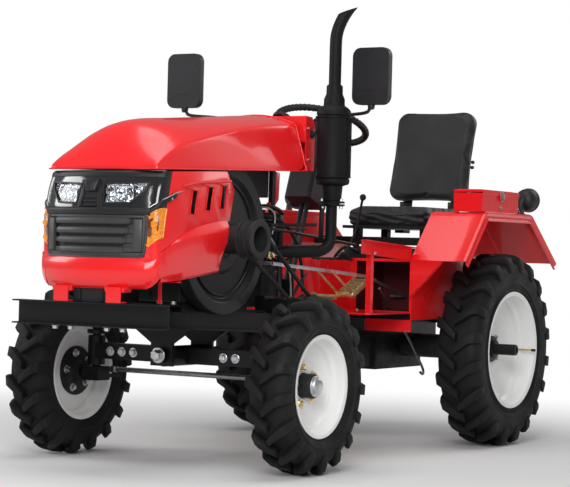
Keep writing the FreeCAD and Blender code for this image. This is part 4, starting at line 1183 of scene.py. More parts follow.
def slot_rims():
    """Thin raised edges round the air slots, with a fold over each."""
    rims = []
    for y, z in ((-0.96, 0.828), (-0.87, 0.842), (-0.788, 0.85)):
        rim = slab("slot_rim", [(0.225, y + a, z + b) for a, b in (
            (-0.0045, 0), (0.0265, 0), (0.0405, 0.074), (0.0095, 0.074))], (0.003, 0, 0))
        cut_away(rim, lambda c, n: abs(n.x) > 0.9)
        modify(rim, "SOLIDIFY", thickness=0.0016, offset=1.0, use_even_offset=True)
        fold = slab("slot_fold", [(0.226, y + a, z + b) for a, b in (
            (-0.034, 0.083), (0.039, 0.083), (0.0405, 0.0755), (0.01, 0.0755))], (0.0045, 0, 0))
        rims += [rim, fold]
    return rims


def swage():
    """The pressed line under the bonnet along the side sheet."""
    line = tube("swage", [(0, y, z) for y, z in (
        (-1.008, 0.915), (-0.96, 0.924), (-0.9, 0.931), (-0.83, 0.936), (-0.728, 0.941))],
        0.0042, 3)
    with shaping(line, "VERT"):
        select_all()
        bpy.ops.transform.resize(value=(0.8, 1, 1), center_override=HUB)
        bpy.ops.transform.translate(value=(0.226, 0, 0))
    return line


def shoulder_pressing():
    """The lower part of the side sheet stands out, under a shoulder that widens to the back."""
    face, lines = 0.2262, []
    for y, upper, ridge, foot, out in (
        (-1.128, 0.69, 0.6885, 0.63, 0.0005), (-1.1, 0.713, 0.708, 0.624, 0.003),
        (-1.06, 0.733, 0.725, 0.622, 0.006), (-1, 0.762, 0.744, 0.622, 0.01),
        (-0.93, 0.785, 0.756, 0.63, 0.013), (-0.86, 0.799, 0.764, 0.638, 0.015),
        (-0.8, 0.808, 0.769, 0.645, 0.016), (-0.7465, 0.812, 0.772, 0.7, 0.016),
    ):
        drift = 0.036 if y > -0.76 else 0
        lines.append([(face + out * share, y - drift * lag, z) for share, lag, z in (
            (0, 0, upper), (0.92, 0, ridge + 0.006), (1, 0, ridge),
            (0.94, 0.35, (ridge * 2 + foot) / 3), (0.74, 0.7, (ridge + foot * 2) / 3),
            (0.42, 1, foot + 0.006), (0, 1, foot))])
    sheet = bridged("shoulder", lines)
    modify(sheet, "SUBSURF", levels=1, render_levels=1, subdivision_type="SIMPLE")
    return modify(sheet, "SOLIDIFY", thickness=0.0018, offset=-1.0)


def side_sheets():
    """Side sheets with their slots opened out, pressings, screws and ducts."""
    panels = node_copy("side_panels", "side_panels_shell")
    with shaping(panels):
        merge_flat()
        outward()
        for way in (-1, 1):
            pick(lambda c, n: n.y * way < -0.8 and abs(c.x) > 0.2 and -0.97 < c.y < -0.74
                 and 0.84 < c.z < 0.91)
            bpy.ops.transform.translate(value=(0, way * 0.0045, 0))
    made("side_panels_shell", [panels], "red_paint", soft=(0.0012, 2, 28), nodes=["side_panels"])
    pressings = ease(joined("side_pressings", [*slot_rims(), swage()]), 0.0008, 2, 40)
    pair_made("side_pressings", [pressings, shoulder_pressing()], "red_paint", 24)
    bolts("side_screws", both_sides(((0.2265, -0.742, 0.905), X)), 0.008, 0.003, washer=False)
    duct = block("duct", (0.186, -1.01, 0.8), (0.2195, -0.76, 0.95))
    inset_facing(duct, X, (0.004, 0), (0.001, -0.028))
    pair_made("slot_ducts", [duct], "deep_black", 30)


BONNET_SECTIONS = (
    # y, half width at the bottom edge, at the shoulder; shoulder and middle heights
    (-1.13, 0.206, 0.203, 0.966, 0.97), (-1.122, 0.207, 0.203, 0.975, 0.984),
    (-1.111, 0.208, 0.203, 0.985, 1), (-1.089, 0.209, 0.203, 0.999, 1.032),
    (-1.064, 0.21, 0.203, 1.012, 1.061), (-1.026, 0.211, 0.203, 1.027, 1.1),
    (-0.985, 0.212, 0.203, 1.04, 1.126), (-0.905, 0.213, 0.2, 1.06, 1.139),
    (-0.817, 0.214, 0.196, 1.078, 1.144), (-0.68, 0.216, 0.186, 1.105, 1.156),
    (-0.533, 0.218, 0.176, 1.132, 1.168), (-0.38, 0.219, 0.172, 1.148, 1.183),
    (-0.231, 0.22, 0.17, 1.161, 1.195),
)


def bonnet_foot(y):
    """The height of the bonnet's lower edge, which rises towards the driver."""
    return 0.961 + 0.037 * (y + 1.13) / 0.899


def bonnet_section(y, low_half, half, shoulder, top):
    """One line over the bonnet: up the side, round the shoulder and across the crown."""
    base = bonnet_foot(y)
    right = [(low_half + (half - low_half) * t, base + (shoulder - base) * t)
             for t in (0, 0.25, 0.5, 0.75, 0.93)]
    rise = max(top - shoulder, 0.0005)
    radius = (half ** 2 + rise ** 2) / (2 * rise)
    for n in range(1, 9):
        x = half * math.cos(math.pi / 2 * n / 8)
        right.append((x, top - radius + math.sqrt(radius ** 2 - x ** 2)))
    return [(x, y, z) for x, z in right] + [(-x, y, z) for x, z in right[-2::-1]]


def lid():
    """Crowned bonnet with soft shoulders, a closed front and a folded edge all round."""
    shell = bridged("bonnet_skin", [bonnet_section(*s) for s in BONNET_SECTIONS])
    with shaping(shell, "EDGE"):
        pick(lambda p, q: max(p.y, q.y) < -1.1299, "edges")
        bpy.ops.mesh.edge_face_add()
        tidy_mesh()
    modify(shell, "SOLIDIFY", thickness=0.0025, offset=-1.0)
    modify(shell, "SUBSURF", levels=1, render_levels=1)
    rear = [(x, y - 0.003, z) for x, y, z in bonnet_section(*BONNET_SECTIONS[-1])]
    parts = [shell, tube("bead", rear, 0.0028, 3)]
    parts += [tube("bead", [(side * s[1], s[0], bonnet_foot(s[0]) + 0.001)
                            for s in BONNET_SECTIONS], 0.0024, 3) for side in (-1, 1)]
    for x in (-0.084, 0.06):
        parts += [drum("eye", (x, -0.26, 1.165), (x + 0.024, -0.26, 1.165), 0.009, 24),
                  block("web", (x, -0.265, 1.168), (x + 0.024, -0.255, 1.186))]
    made("bonnet_skin", parts, "red_paint", 45, body="bonnet", nodes=["bonnet"])


# ---------------------------------------------------------------- engine and drive


CRANK = Vector((0, -0.713, 0.754))
CLUTCH = Vector((0, -0.346, 0.529))


def engine():
    """Crankcase, tank, flywheel and pulleys with eased edges, and their bolts."""
    softened("engine_block", "casting", 0.005, 3)
    softened("fuel_tank", "black_paint", 0.003)
    softened("flywheel", "flywheel_black", 0.0022, 3, 25, "flywheel")
    softened("belt_pulley", "casting", 0.0022, 3, 25, "flywheel")
    softened("clutch_pulley", "casting", 0.0018, 2, 25, "clutch_pulley")
    r, x, fat = 0.186, 0.1905, 0.0035
    ring = spun("ring", [
        (x - 0.004, r - fat), (x, r - fat * 0.6), (x + 0.0015, r), (x, r + fat * 0.6),
        (x - 0.004, r + fat), (x - 0.004, r - fat)], CRANK, "X", 96)
    made("flywheel_rings", [ring], "flywheel_black", 60, body="flywheel")
    bolts("flywheel_bolts", [
        ((0.2065, CRANK.y + 0.04 * math.cos(a), CRANK.z + 0.04 * math.sin(a)), X)
        for a in (TURN * n / 4 + 0.5 for n in range(4))], 0.014, 0.009, "flywheel")
    bolts("case_bolts", [((0.15, y, z), X) for y, z in (
        (-0.52, 0.62), (-0.505, 0.8), (-0.53, 0.885))], 0.016, 0.01)


def head_parts():
    """Cover and fins of the head, air cleaner, clutch case, filter cup, pipes and carriers."""
    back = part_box("engine_block")[1].y

    def box(name, low, high):
        """A block placed from the back of the engine."""
        return block(name, (low[0], back + low[1], low[2]), (high[0], back + high[1], high[2]))

    def lines(name, sets):
        return [tube(name, [(x, back + y, z) for x, y, z in points], radius, 3)
                for radius, points in sets]

    cover = ease(box("rocker_cover", (-0.07, -0.004, 0.665), (0.07, 0.022, 0.835)), 0.01, 3)
    ribs = [box("rib", (-0.06, 0.02, z), (0.06, 0.028, z + 0.006))
            for z in (0.69, 0.715, 0.74, 0.765, 0.79)]
    made("head_cover", [cover, *ribs], "casting", soft=(0.0015,))
    fins = [box("fin", (0.098, -0.15, z), (0.118, -0.012, z + 0.005))
            for z in (0.66 + 0.018 * n for n in range(10))]
    made("head_fins", fins, "casting", soft=(0.001,))
    cleaner = spun("air_cleaner", [
        (0, 0), (0, 0.03), (0.006, 0.05), (0.02, 0.054), (0.026, 0.05), (0.09, 0.05),
        (0.096, 0.055), (0.104, 0.055), (0.11, 0.05), (0.132, 0.048), (0.14, 0.036), (0.142, 0)],
        (0.062, back + 0.09, 0.712), "Z", 40)
    neck = tube("neck", [(0.062, back + 0.09, 0.76), (0.03, back + 0.06, 0.77),
                         (0, back + 0.03, 0.772), (0, back + 0.01, 0.772)], 0.02, 4)
    shelf = box("shelf", (0.02, 0.018, 0.7), (0.11, 0.15, 0.705))
    made("air_cleaner", [ease(cleaner, 0.0015), neck, ease(shelf, 0.001)], "black_paint")
    housing = box("clutch_case", (-0.085, 0.002, 0.52), (0.092, 0.12, 0.664))
    with shaping(housing):
        pick(lambda c, n: n.y > 0.9 or n.x > 0.9)
        bpy.ops.mesh.inset(thickness=0.018, depth=0)
        bpy.ops.mesh.inset(thickness=0.004, depth=0.01)
    made("clutch_case", [housing], "casting", soft=(0.006, 3))
    cup = spun("filter_cup", [
        (0, 0), (0, 0.02), (0.004, 0.023), (0.03, 0.023), (0.034, 0.026), (0.04, 0.026),
        (0.044, 0.022), (0.052, 0.021), (0.056, 0.012), (0.056, 0)],
        (0.132, back - 0.06, 0.722), "Z", 32)
    made("filter_cup", [cup], "zinc")
    fitting = spun("brass_fitting", [
        (0, 0), (0, 0.012), (0.006, 0.012), (0.008, 0.018), (0.026, 0.018), (0.028, 0.011),
        (0.04, 0.01), (0.042, 0.006), (0.042, 0)], (0.118, back - 0.03, 0.705), "X", 6)
    made("brass_fitting", [fitting], "brass", 30, (0.0012, 2, 25))
    made("fuel_pipes", lines("pipe", (
        (0.004, ((0.15, -0.04, 0.712), (0.165, 0.02, 0.7), (0.16, 0.08, 0.64), (0.15, 0.1, 0.56))),
        (0.0035, ((0.11, -0.1, 0.862), (0.13, -0.05, 0.875), (0.145, 0.01, 0.84),
                  (0.14, -0.02, 0.775))),
        (0.0045, ((0.06, 0.02, 0.8), (0.09, 0.05, 0.78), (0.125, 0.05, 0.7), (0.14, 0.04, 0.62))),
    )), "bare_steel", 60)
    made("engine_hoses", lines("hose", (
        (0.0065, ((0.1, -0.02, 0.84), (0.15, 0.03, 0.83), (0.168, 0.1, 0.76), (0.16, 0.16, 0.66),
                  (0.14, 0.2, 0.58))),
        (0.005, ((0.11, 0.02, 0.64), (0.15, 0.06, 0.69), (0.165, 0.15, 0.72), (0.12, 0.24, 0.7))),
        (0.008, ((0.09, -0.03, 0.87), (0.12, 0.02, 0.88), (0.115, 0.09, 0.85))),
        (0.0055, ((0.15, 0.1, 0.54), (0.165, 0.12, 0.6), (0.155, 0.2, 0.64), (0.12, 0.26, 0.64))),
    )), "grip_rubber", 60)
    made("engine_carriers", [box("carrier", low, high) for low, high in (
        ((0.14, 0.02, 0.56), (0.146, 0.046, 0.8)), ((0.12, 0.02, 0.796), (0.146, 0.21, 0.802)),
        ((0.06, 0.12, 0.56), (0.146, 0.128, 0.62)))], "black_paint", 30, (0.0012,))


def belts():
    """One narrow V belt, a closed loop round both pulleys."""
    low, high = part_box("drive_belts")
    middle = X * ((high.x + low.x) / 2)
    crank, clutch = middle + CRANK, middle + CLUTCH
    big, small, half = 0.0505, 0.0315, 0.0065
    run = CLUTCH - CRANK
    lean = math.acos((big - small) / run.length)
    ahead = math.atan2(run.z, run.y)
    up, down = (Vector((0, math.cos(a), math.sin(a))) for a in (ahead + lean, ahead - lean))
    profile = [crank + up * (big + b + 0.008) + X * a for a, b in (
        (-half, 0.0005), (half, 0.0005), (half * 0.92, -0.0085), (-half * 0.92, -0.0085),
        (-half, 0.0005))]
    belt = swept("belt", profile, [
        clutch + up * small - crank - up * big, (clutch, X, -2 * lean, 20),
        crank + down * big - clutch - down * small, (crank, X, -(TURN - 2 * lean), 28)])
    made("drive_belt", [belt], "belt_rubber", soft=(0.0008, 2, 35), nodes=["drive_belts"])


# ---------------------------------------------------------------- exhaust


def exhaust():
    """Silencer with rolled seams and a perforated guard, its clamp, down pipe and stack."""
    x, y = 0.28, -0.158
    can = spun("silencer", [
        (0.896, 0.024), (0.898, 0.031), (0.903, 0.033), (0.95, 0.037), (0.953, 0.046),
        (0.955, 0.054), (0.959, 0.0585), (0.965, 0.06), (0.973, 0.06), (0.976, 0.0572),
        (0.98, 0.0568), (1.19, 0.0568), (1.194, 0.0575), (1.197, 0.0602), (1.205, 0.0605),
        (1.211, 0.059), (1.218, 0.054), (1.226, 0.044), (1.23, 0.0375), (1.236, 0.0368),
        (1.252, 0.0365), (1.262, 0.0325), (1.27, 0.029), (1.296, 0.0285), (1.3, 0.027),
        (1.303, 0.0225), (1.27, 0.022)], (x, y, 0), "Z")
    close_ends(can)
    made("silencer", [can], "guard_black", 35, nodes=["muffler"])
    guard = drawn("guard", [(x + 0.0625, y, 0.982), (x + 0.0625, y, 1.188)])
    with shaping(guard, "EDGE"):
        select_all()
        bpy.ops.mesh.subdivide(number_cuts=43)
        bpy.ops.mesh.spin(steps=36, angle=math.radians(150), center=(x, y, 1), axis=Z)
        tidy_mesh()
    moved(guard, about((x, y, 1), "Z", math.radians(150)))
    modify(guard, "WIREFRAME", thickness=0.0017, use_even_offset=True)
    low, deep, out = -0.0025, 0.0575, 0.064
    hoops = [spun("hoop", [(z + a, b) for a, b in (
        (low, deep), (low, out), (-low, out), (-low, deep), (low, deep))], (x, y, 0), "Z")
        for z in (0.981, 1.189)]
    made("silencer_guard", [guard, *hoops], "guard_black", 30)
    stack = tube("stack", [(x + a, y + b, z) for a, b, z in (
        (0, 0, 1.258), (0, 0, 1.3), (0, 0, 1.38), (0, 0, 1.44), (0, 0.002, 1.475),
        (0.006, 0.01, 1.51), (0.016, 0.024, 1.545), (0.032, 0.044, 1.582),
        (0.045, 0.06, 1.605))], 0.0215, 5)
    with shaping(stack):
        bpy.ops.mesh.select_face_by_sides(number=4, type="GREATER")
        bpy.ops.mesh.delete(type="FACE")
    modify(stack, "SOLIDIFY", thickness=0.0015, offset=-1.0)
    with shaping(stack):
        select_all()
        bpy.ops.mesh.bisect(plane_co=(x + 0.03, y + 0.038, 1.566), plane_no=(-0.15, -0.35, 0.92),
                            clear_outer=True, use_fill=False)
    down = tube("down_pipe", [
        (x, y, 0.905), (x, y, 0.86), (x, y, 0.8), (x, y, 0.765), (x - 0.006, y - 0.006, 0.74),
        (x - 0.022, y - 0.024, 0.722), (x - 0.05, y - 0.06, 0.716), (0.15, -0.305, 0.716),
        (0.106, -0.353, 0.716)], 0.0195, 5)
    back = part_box("engine_block")[1].y
    flange = slab("head_flange", [(0.1, back - a, z) for a, z in (
        (0.085, 0.69), (0.015, 0.69), (0.005, 0.716), (0.015, 0.742), (0.085, 0.742),
        (0.095, 0.716))], (0.008, 0, 0))
    ease(flange, 0.002)
    collar = spun("clamp_ring", [
        (0.88, 0.0195), (0.88, 0.026), (0.883, 0.028), (0.893, 0.028), (0.896, 0.026),
        (0.896, 0.0195), (0.88, 0.0195)], (x, y, 0), "Z", 40)
    ears = [ease(slab("ear", [(x + a, y + b, z) for a, b in (
        (-0.047, -0.01), (-0.02, -0.026), (0.02, -0.026), (0.047, -0.01), (0.047, 0.01),
        (0.02, 0.026), (-0.02, 0.026), (-0.047, 0.01))], (0, 0, 0.006)), 0.001)
        for z in (0.8805, 0.8895)]
    strap = slab("strap", [(x - a, y - b, z) for a, b, z in (
        (0.041, 0.012, 0.88), (0.036, 0.012, 0.88), (0.022, 0.04, 0.752), (0.027, 0.04, 0.752))],
        (0, 0.026, 0))
    made("exhaust_pipes", [stack, down, flange, collar, *ears, strap], "guard_black", 35,
         nodes=["exhaust_pipe"])
    bolts("exhaust_bolts", [place for s in (-1, 1) for place in (
        ((x + s * 0.038, y, 0.8955), Z), ((x + s * 0.038, y, 0.8805), -Z),
        ((0.108, back - 0.05 + s * 0.03, 0.716), X))], 0.013, 0.009)


# ---------------------------------------------------------------- cowl and steering


COLUMN_TOP = (0, 0.242, 1.19)
COLUMN_TILT = math.radians(20)


def cowl():
    """Cowl, its posts and screws, the cover and boot of the column, gauge and key."""
    softened("dash_cowl", "red_paint", 0.005, 3)
    softened("steering_column", "black_plastic", 0.004, 3)
    post = slab("cowl_post", [(0.052, y, z) for y, z in (
        (-0.186, 0.998), (-0.152, 0.996), (-0.156, 0.9), (-0.18, 0.878), (-0.222, 0.874),
        (-0.222, 0.888), (-0.186, 0.892), (-0.176, 0.905))], (0.012, 0, 0))
    pair_made("cowl_posts", [post], "red_paint", soft=(0.002,))
    bolts("cowl_screws", both_sides(((0.2005, -0.19, 1.04), X), ((0.2005, -0.19, 1.15), X)),
          0.01, 0.005, washer=False)
    axis = Vector((0, math.sin(COLUMN_TILT), math.cos(COLUMN_TILT)))
    top = Vector(COLUMN_TOP)
    boots = [drum("boot", top + axis * (up - 0.006), top + axis * (up + 0.002), radius, 36)
             for up, radius in ((-0.088, 0.03), (-0.08, 0.027), (-0.072, 0.024))]
    made("column_boot", boots, "grip_rubber", soft=(0.002,))
    for name, outline, steps, at, finish in (
        ("gauge", [(0, 0), (0, 0.036), (0.004, 0.038), (0.01, 0.038), (0.012, 0.035),
                   (0.011, 0.032), (0.008, 0.031), (0.008, 0)], 48, (0.07, -0.16, 1.18),
         "black_plastic"),
        ("key_switch", [(0, 0), (0, 0.012), (0.004, 0.013), (0.008, 0.012), (0.009, 0.007),
                        (0.02, 0.006), (0.02, 0)], 24, (-0.07, -0.158, 1.176), "zinc"),
    ):
        made(name, [moved(spun(name, outline, HUB, "Z", steps), placed((0, 0.62, 0.78), at))],
             finish)


def wheel_of_steering():
    """Grip ring with ridges for the fingers, spokes and the cap of the hub."""
    softened("steering_wheel", "grip_rubber", 0.002, body="steering_wheel")
    stand = Matrix.Translation(COLUMN_TOP) @ Matrix.Rotation(-COLUMN_TILT, 4, "X")
    cap = spun("wheel_cap", [(0.008, 0), (0.008, 0.034), (0.012, 0.036), (0.018, 0.034),
                             (0.022, 0.026), (0.024, 0.014), (0.0245, 0)], HUB, "Z", 48)
    made("wheel_cap", [moved(cap, stand)], "black_plastic", 50, body="steering_wheel")
    ridge = spun("grip_ridge", [(-0.004, 0.0115), (-0.0015, 0.0135), (0.0015, 0.0135),
                                (0.004, 0.0115), (-0.004, 0.0115)], (0, 0.168, 0), "X", 16)
    ring = repeated("grip_ridges", ridge, [
        stand @ Matrix.Rotation(TURN * n / 60, 4, "Z") for n in range(60)])
    made("grip_ridges", [ring], "grip_rubber", 50, body="steering_wheel")


# ---------------------------------------------------------------- driver's place


def folded_fender(name, side):
    """Mudguard: rounded roof with a two-bead edge, inner wall and end folds."""
    a, b, c, d = (0.327, 0.7), (0.497, 0.885), (0.912, 0.885), (1.162, 0.7)
    inner, outer, r = 0.34, 0.57, 0.055
    t1 = math.atan2(b[1] - a[1], b[0] - a[0])
    t2 = math.atan2(c[1] - d[1], d[0] - c[0])
    s1, s2 = r * math.tan(t1 / 2), r * math.tan(t2 / 2)
    ahead = Vector((0, math.cos(t1), math.sin(t1)))
    into = Vector((0, math.sin(t1), -math.cos(t1)))
    away = Vector((0, math.cos(t2), -math.sin(t2)))
    section = [(outer - x, deep) for x, deep in (
        (0.007, 0.034), (0.002, 0.035), (0, 0.032), (0.001, 0.028), (0.006, 0.025),
        (0.0065, 0.018), (0.003, 0.013), (0.001, 0.008), (0.002, 0.0025), (0.007, 0),
        (0.012, -0.0005), (0.017, 0.0015), (0.022, 0.003), (0.06, 0.003))]
    section += [(inner + x, deep) for x, deep in (
        (0.06, 0.003), (0.004, 0.003), (0.001, 0.005), (0, 0.01), (0, 0.02))]
    start = Vector((0, *a))
    low_b, low_c = Vector((0, b[0] + s1, b[1] - r)), Vector((0, c[0] - s2, c[1] - r))
    roof = swept(name, [start + X * x + into * deep for x, deep in section], [
        ahead * (math.dist(a, b) - s1), (low_b, X, -t1, 10), Y * (c[0] - b[0] - s1 - s2),
        (low_c, X, -t2, 8), away * (math.dist(c, d) - s2)])
    modify(roof, "SOLIDIFY", thickness=0.0022, offset=-1.0, use_even_offset=True)
    wall = [(0.348, 0.476), (1.0, 0.476), (1.01, 0.7), (d[0] - 0.02, 0.712)]
    for corner, turn, way in ((low_c, t2, 1), (low_b, t1, -1)):
        for n in range(9):
            angle = turn * (1 - n / 8 if way > 0 else n / 8)
            wall.append((corner.y + way * (r - 0.01) * math.sin(angle),
                         corner.z + (r - 0.01) * math.cos(angle)))
    wall += [(a[0] + 0.016, 0.702), (0.348, 0.7)]
    sheets = [slab("wall", [(inner + 0.0002, y, z) for y, z in wall], (0.0026, 0, 0))]
    sheets += [block("stiff", (inner + 0.003, y, 0.864), (outer - 0.012, y + 0.03, 0.8795))
               for y in (0.56, 0.84)]
    sheets += [block("rib", (inner - 0.002, y, 0.5), (inner + 0.001, y + 0.02, 0.68))
               for y in (0.6, 0.78)]
    piece = joined(name, [roof, *[ease(sheet, 0.001) for sheet in sheets]])
    with shaping(piece):
        outward()
    if side > 0:
        return piece
    twin = flipped(piece, name)
    discard(piece)
    return named(twin, name)


def mudguards():
    """Both mudguards and their bolts."""
    for word, side in SIDES:
        name = "mudguard_" + word
        made(name, [folded_fender(name, side)], "red_paint", 32, nodes=["fender_" + word])
    bolts("mudguard_bolts", both_sides(*[((0.3395, y, z), -X) for y, z in (
        (0.372, 0.52), (0.372, 0.66), (0.91, 0.49), (0.99, 0.66))]), 0.014, 0.008)


def box_for_tools():
    """Box with a folded rim, lid with a pressed panel, and the latch."""
    softened("tool_box", "red_paint", 0.002)
    softened("tool_box_lid", "red_paint", 0.0016, body="tool_box_lid")
    low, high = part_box("tool_box_lid")
    panel = block("lid_panel", (low.x + 0.024, low.y + 0.018, high.z - 0.001),
                  (high.x - 0.02, high.y - 0.018, high.z + 0.0015))
    inset_facing(panel, Z, (0.006, 0.001))
    made("lid_panel", [panel], "red_paint", 30, (0.001, 2, 25), "tool_box_lid")
    y = (low.y + high.y) / 2
    hasp = slab("hasp", [(high.x - 0.001, y + a, low.z + up) for a, up in (
        (-0.015, 0.034), (0.015, 0.034), (0.01, -0.004), (-0.01, -0.004))], (0.0022, 0, 0))
    loop = tube("hasp_loop", [(high.x + out, y + a, low.z + up) for out, a, up in (
        (0.001, -0.007, 0.026), (0.007, -0.007, 0.02), (0.007, -0.007, 0.006), (0.004, 0, -0.002),
        (0.007, 0.007, 0.006), (0.007, 0.007, 0.02), (0.001, 0.007, 0.026))], 0.0018, 3)
    made("latch", [ease(hasp, 0.0008), loop], "zinc_dark", body="tool_box_lid")
    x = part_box("tool_box")[1].x
    catch = block("latch_catch", (x - 0.002, y - 0.008, low.z - 0.034),
                  (x + 0.006, y + 0.008, low.z - 0.022))
    inset_facing(catch, X, (0.003, -0.001))
    made("latch_catch", [catch], "zinc_dark", soft=(0.001,))


def lamps_behind():
    """Round bowls with a lens ring and a red lens at the back, on bent stays."""
    centre = (0.525, 0.945, 0.942)
    bowl = spun("rear_bowl", [
        (-0.031, 0), (-0.0305, 0.012), (-0.028, 0.024), (-0.022, 0.034), (-0.012, 0.041),
        (0.002, 0.0445), (0.018, 0.0455), (0.022, 0.0475), (0.028, 0.0475), (0.03, 0.045),
        (0.03, 0.041), (0.022, 0.04), (0.01, 0.034), (-0.01, 0.03), (-0.014, 0)], centre, "Y")
    stay = slab("stay", [(x, y, 0.8855) for x, y in (
        (0.508, 0.878), (0.542, 0.878), (0.542, 0.906), (0.534, 0.922), (0.516, 0.922),
        (0.508, 0.906))], (0, 0, 0.004))
    arm = slab("arm", [(0.518, y, z) for y, z in (
        (0.884, 0.888), (0.916, 0.888), (0.93, 0.944), (0.916, 0.95), (0.898, 0.93))],
        (0.014, 0, 0))
    bowls = pair_of("rear_bowls", joined("rear_bowls", [bowl, ease(stay, 0.001), ease(arm, 0.001)]))
    made("rear_bowls", [bowls], "black_plastic", 45, nodes=["rear_lamps"])
    glass = spun("rear_lenses", [(0.006, 0), (0.008, 0.036), (0.026, 0.0405), (0.03, 0.039),
                                 (0.035, 0.033), (0.038, 0.02), (0.039, 0)], centre, "Y", 48)
    pair_made("rear_lenses", [glass], "red_lens", 50)
    bolts("lamp_bolts", both_sides(((0.525, 0.892, 0.8895), Z)), 0.012, 0.008)


def mirrors():
    """Dark backs with a soft rim and a moulded line, glass towards the driver, round stems."""
    for word, side in SIDES:
        x, z0, z1 = side * 0.391, 1.236, 1.436
        shell = block("mirror_shell_" + word, (x - 0.072, -0.106, z0), (x + 0.072, -0.078, z1))
        round_corners(shell, 1, 0.03, 7)
        inset_facing(shell, Y, (0.005, 0), (0.0015, -0.004))
        ease(shell, 0.0065, 5, 25)
        modify(shade(shell), "WEIGHTED_NORMAL", keep_sharp=True)
        fit(shell, "chassis", "black_plastic", "mirror_" + word)
        mark = tube("mould_line", [(x - 0.028, -0.1062, z0 + 0.052), (x, -0.1066, z0 + 0.05),
                                   (x + 0.028, -0.1062, z0 + 0.052)], 0.0009, 2)
        stem = tube("stem", [(side * a, b, c) for a, b, c in (
            (0.196, -0.17, 1.13), (0.206, -0.17, 1.13), (0.212, -0.165, 1.136),
            (0.213, -0.12, 1.18), (0.222, -0.1, 1.192), (0.25, -0.079, 1.2),
            (0.315, -0.08, 1.205), (0.366, -0.09, 1.208), (0.385, -0.092, 1.216),
            (0.391, -0.092, 1.246))], 0.006, 4)
        ball = spun("socket", [(-0.006, 0), (-0.006, 0.009), (0, 0.012), (0.008, 0.013),
                               (0.016, 0.011), (0.02, 0.007), (0.02, 0)],
                    (x, -0.092, 1.226), "Z", 24)
        foot = spun("foot", [(0, 0), (0, 0.015), (0.003, 0.015), (0.005, 0.011), (0.01, 0.01),
                             (0.01, 0)], (0.1995, -0.17, 1.13), "X", 24)
        if side < 0:
            moved(foot, Matrix.Scale(-1, 4, X))
            with shaping(foot):
                outward()
        made("mirror_stem_" + word, [stem, ball, foot, mark], "black_plastic")
        glass = slab("mirror_glass_" + word, rounded_corners(
            x, (z0 + z1) / 2, 0.064, 0.092, 0.024, -0.0815), (0, 0.0015, 0))
        made("mirror_glass_" + word, [glass], "mirror_silver", 30)


def rounded_corners(x, z, half_wide, half_high, r, y):
    """A rectangle with round corners, standing across the tractor."""
    return [(x + cx * (half_wide - r) + r * math.cos(turn), y,
             z + cz * (half_high - r) + r * math.sin(turn))
            for cx, cz, start in ((1, 1, 0), (-1, 1, 90), (-1, -1, 180), (1, -1, 270))
            for turn in (math.radians(start + 15 * n) for n in range(7))]


def round_corners(thing, axis, radius, steps):
    """Round the edges of a block that run along one axis."""
    with shaping(thing, "EDGE"):
        pick(lambda p, q: abs((p - q).normalized()[axis]) > 0.9, "edges")
        bpy.ops.mesh.bevel(offset=radius, segments=steps)


def platform_pieces():
    """Floor, braces, a well behind the toe plates with its walls painted dark red as shade, and
    corner plates under the guards.
    """
    floor = softened("platform", "red_paint", 0)
    cut_away(floor, lambda c, n: 0.168 < c.x < 0.338 and c.y < 0.0019 and 0.5052 < c.z < 0.6901)
    cuts = [((x, 0, 0), X) for x in (-0.3436, -0.334, -0.11, 0.11, 0.334, 0.3436)]
    for at, way in (*cuts, ((0, 0, 0.5065), Z), ((0, 0, 0.69), Z)):
        with shaping(floor):
            select_all()
            bpy.ops.mesh.bisect(plane_co=at, plane_no=way)
    cut_away(floor, lambda c, n: 0.344 < c.y < 0.3487 and (
        abs(c.x) > 0.3437 or 0.111 < abs(c.x) < 0.333 and 0.507 < c.z < 0.6899))
    ease(floor, 0.0012)
    wells = []
    for side in (-1, 1):
        low, high = sorted((side * 0.11, side * 0.334))
        well = block("well", (low, 0.3475, 0.5065), (high, 0.56, 0.69))
        cut_away(well, lambda c, n: n.y < -0.9)
        wells.append(modify(well, "SOLIDIFY", thickness=0.002, offset=1.0))
    # The wells take shadow_red, a dark red that paints the shade inside the recess.
    made("platform_wells", wells, "shadow_red", 30)
    plate = slab("plate", [(0.3432, 0.344, 0.6995), (0.475, 0.344, 0.6995), (0.3432, 0.344, 0.56)],
                 (0, 0.0025, 0))
    pair_made("corner_plates", [plate], "red_paint", 30, (0.0006,))
    made("under_seat_tray", [block("tray", low, high) for low, high in (
        ((-0.1, 0.3475, 0.69), (0.3, 1.02, 0.7)), ((-0.1, 0.62, 0.699), (0.3, 1.02, 0.742)),
        ((-0.09, 0.8, 0.741), (-0.07, 0.95, 0.757)), ((0.27, 0.8, 0.741), (0.29, 0.95, 0.757)),
    )], "black_paint", 30, (0.0015,))
    valve = block("lift_valve", (0, 0.46, 0.6995), (0.095, 0.54, 0.738))
    caps = [drum("cap", (x, 0.5, 0.736), (x, 0.5, 0.736 + up), r, 20)
            for x, up, r in ((0.02, 0.018, 0.012), (0.05, 0.01, 0.016), (0.08, 0.022, 0.009))]
    hose = tube("hose", [(0.05, 0.462, 0.72), (0.045, 0.43, 0.735), (0, 0.425, 0.745),
                         (-0.04, 0.44, 0.701)], 0.006, 4)
    made("lift_valve", [ease(valve, 0.004, 3), *caps, hose], "casting")
    bolts("platform_bolts", both_sides(((0.345, 0.047, 0.72), X), ((0.13, 0.03, 0.5055), Z),
                                       ((0.13, 0.32, 0.5055), Z)), 0.009, 0.005)


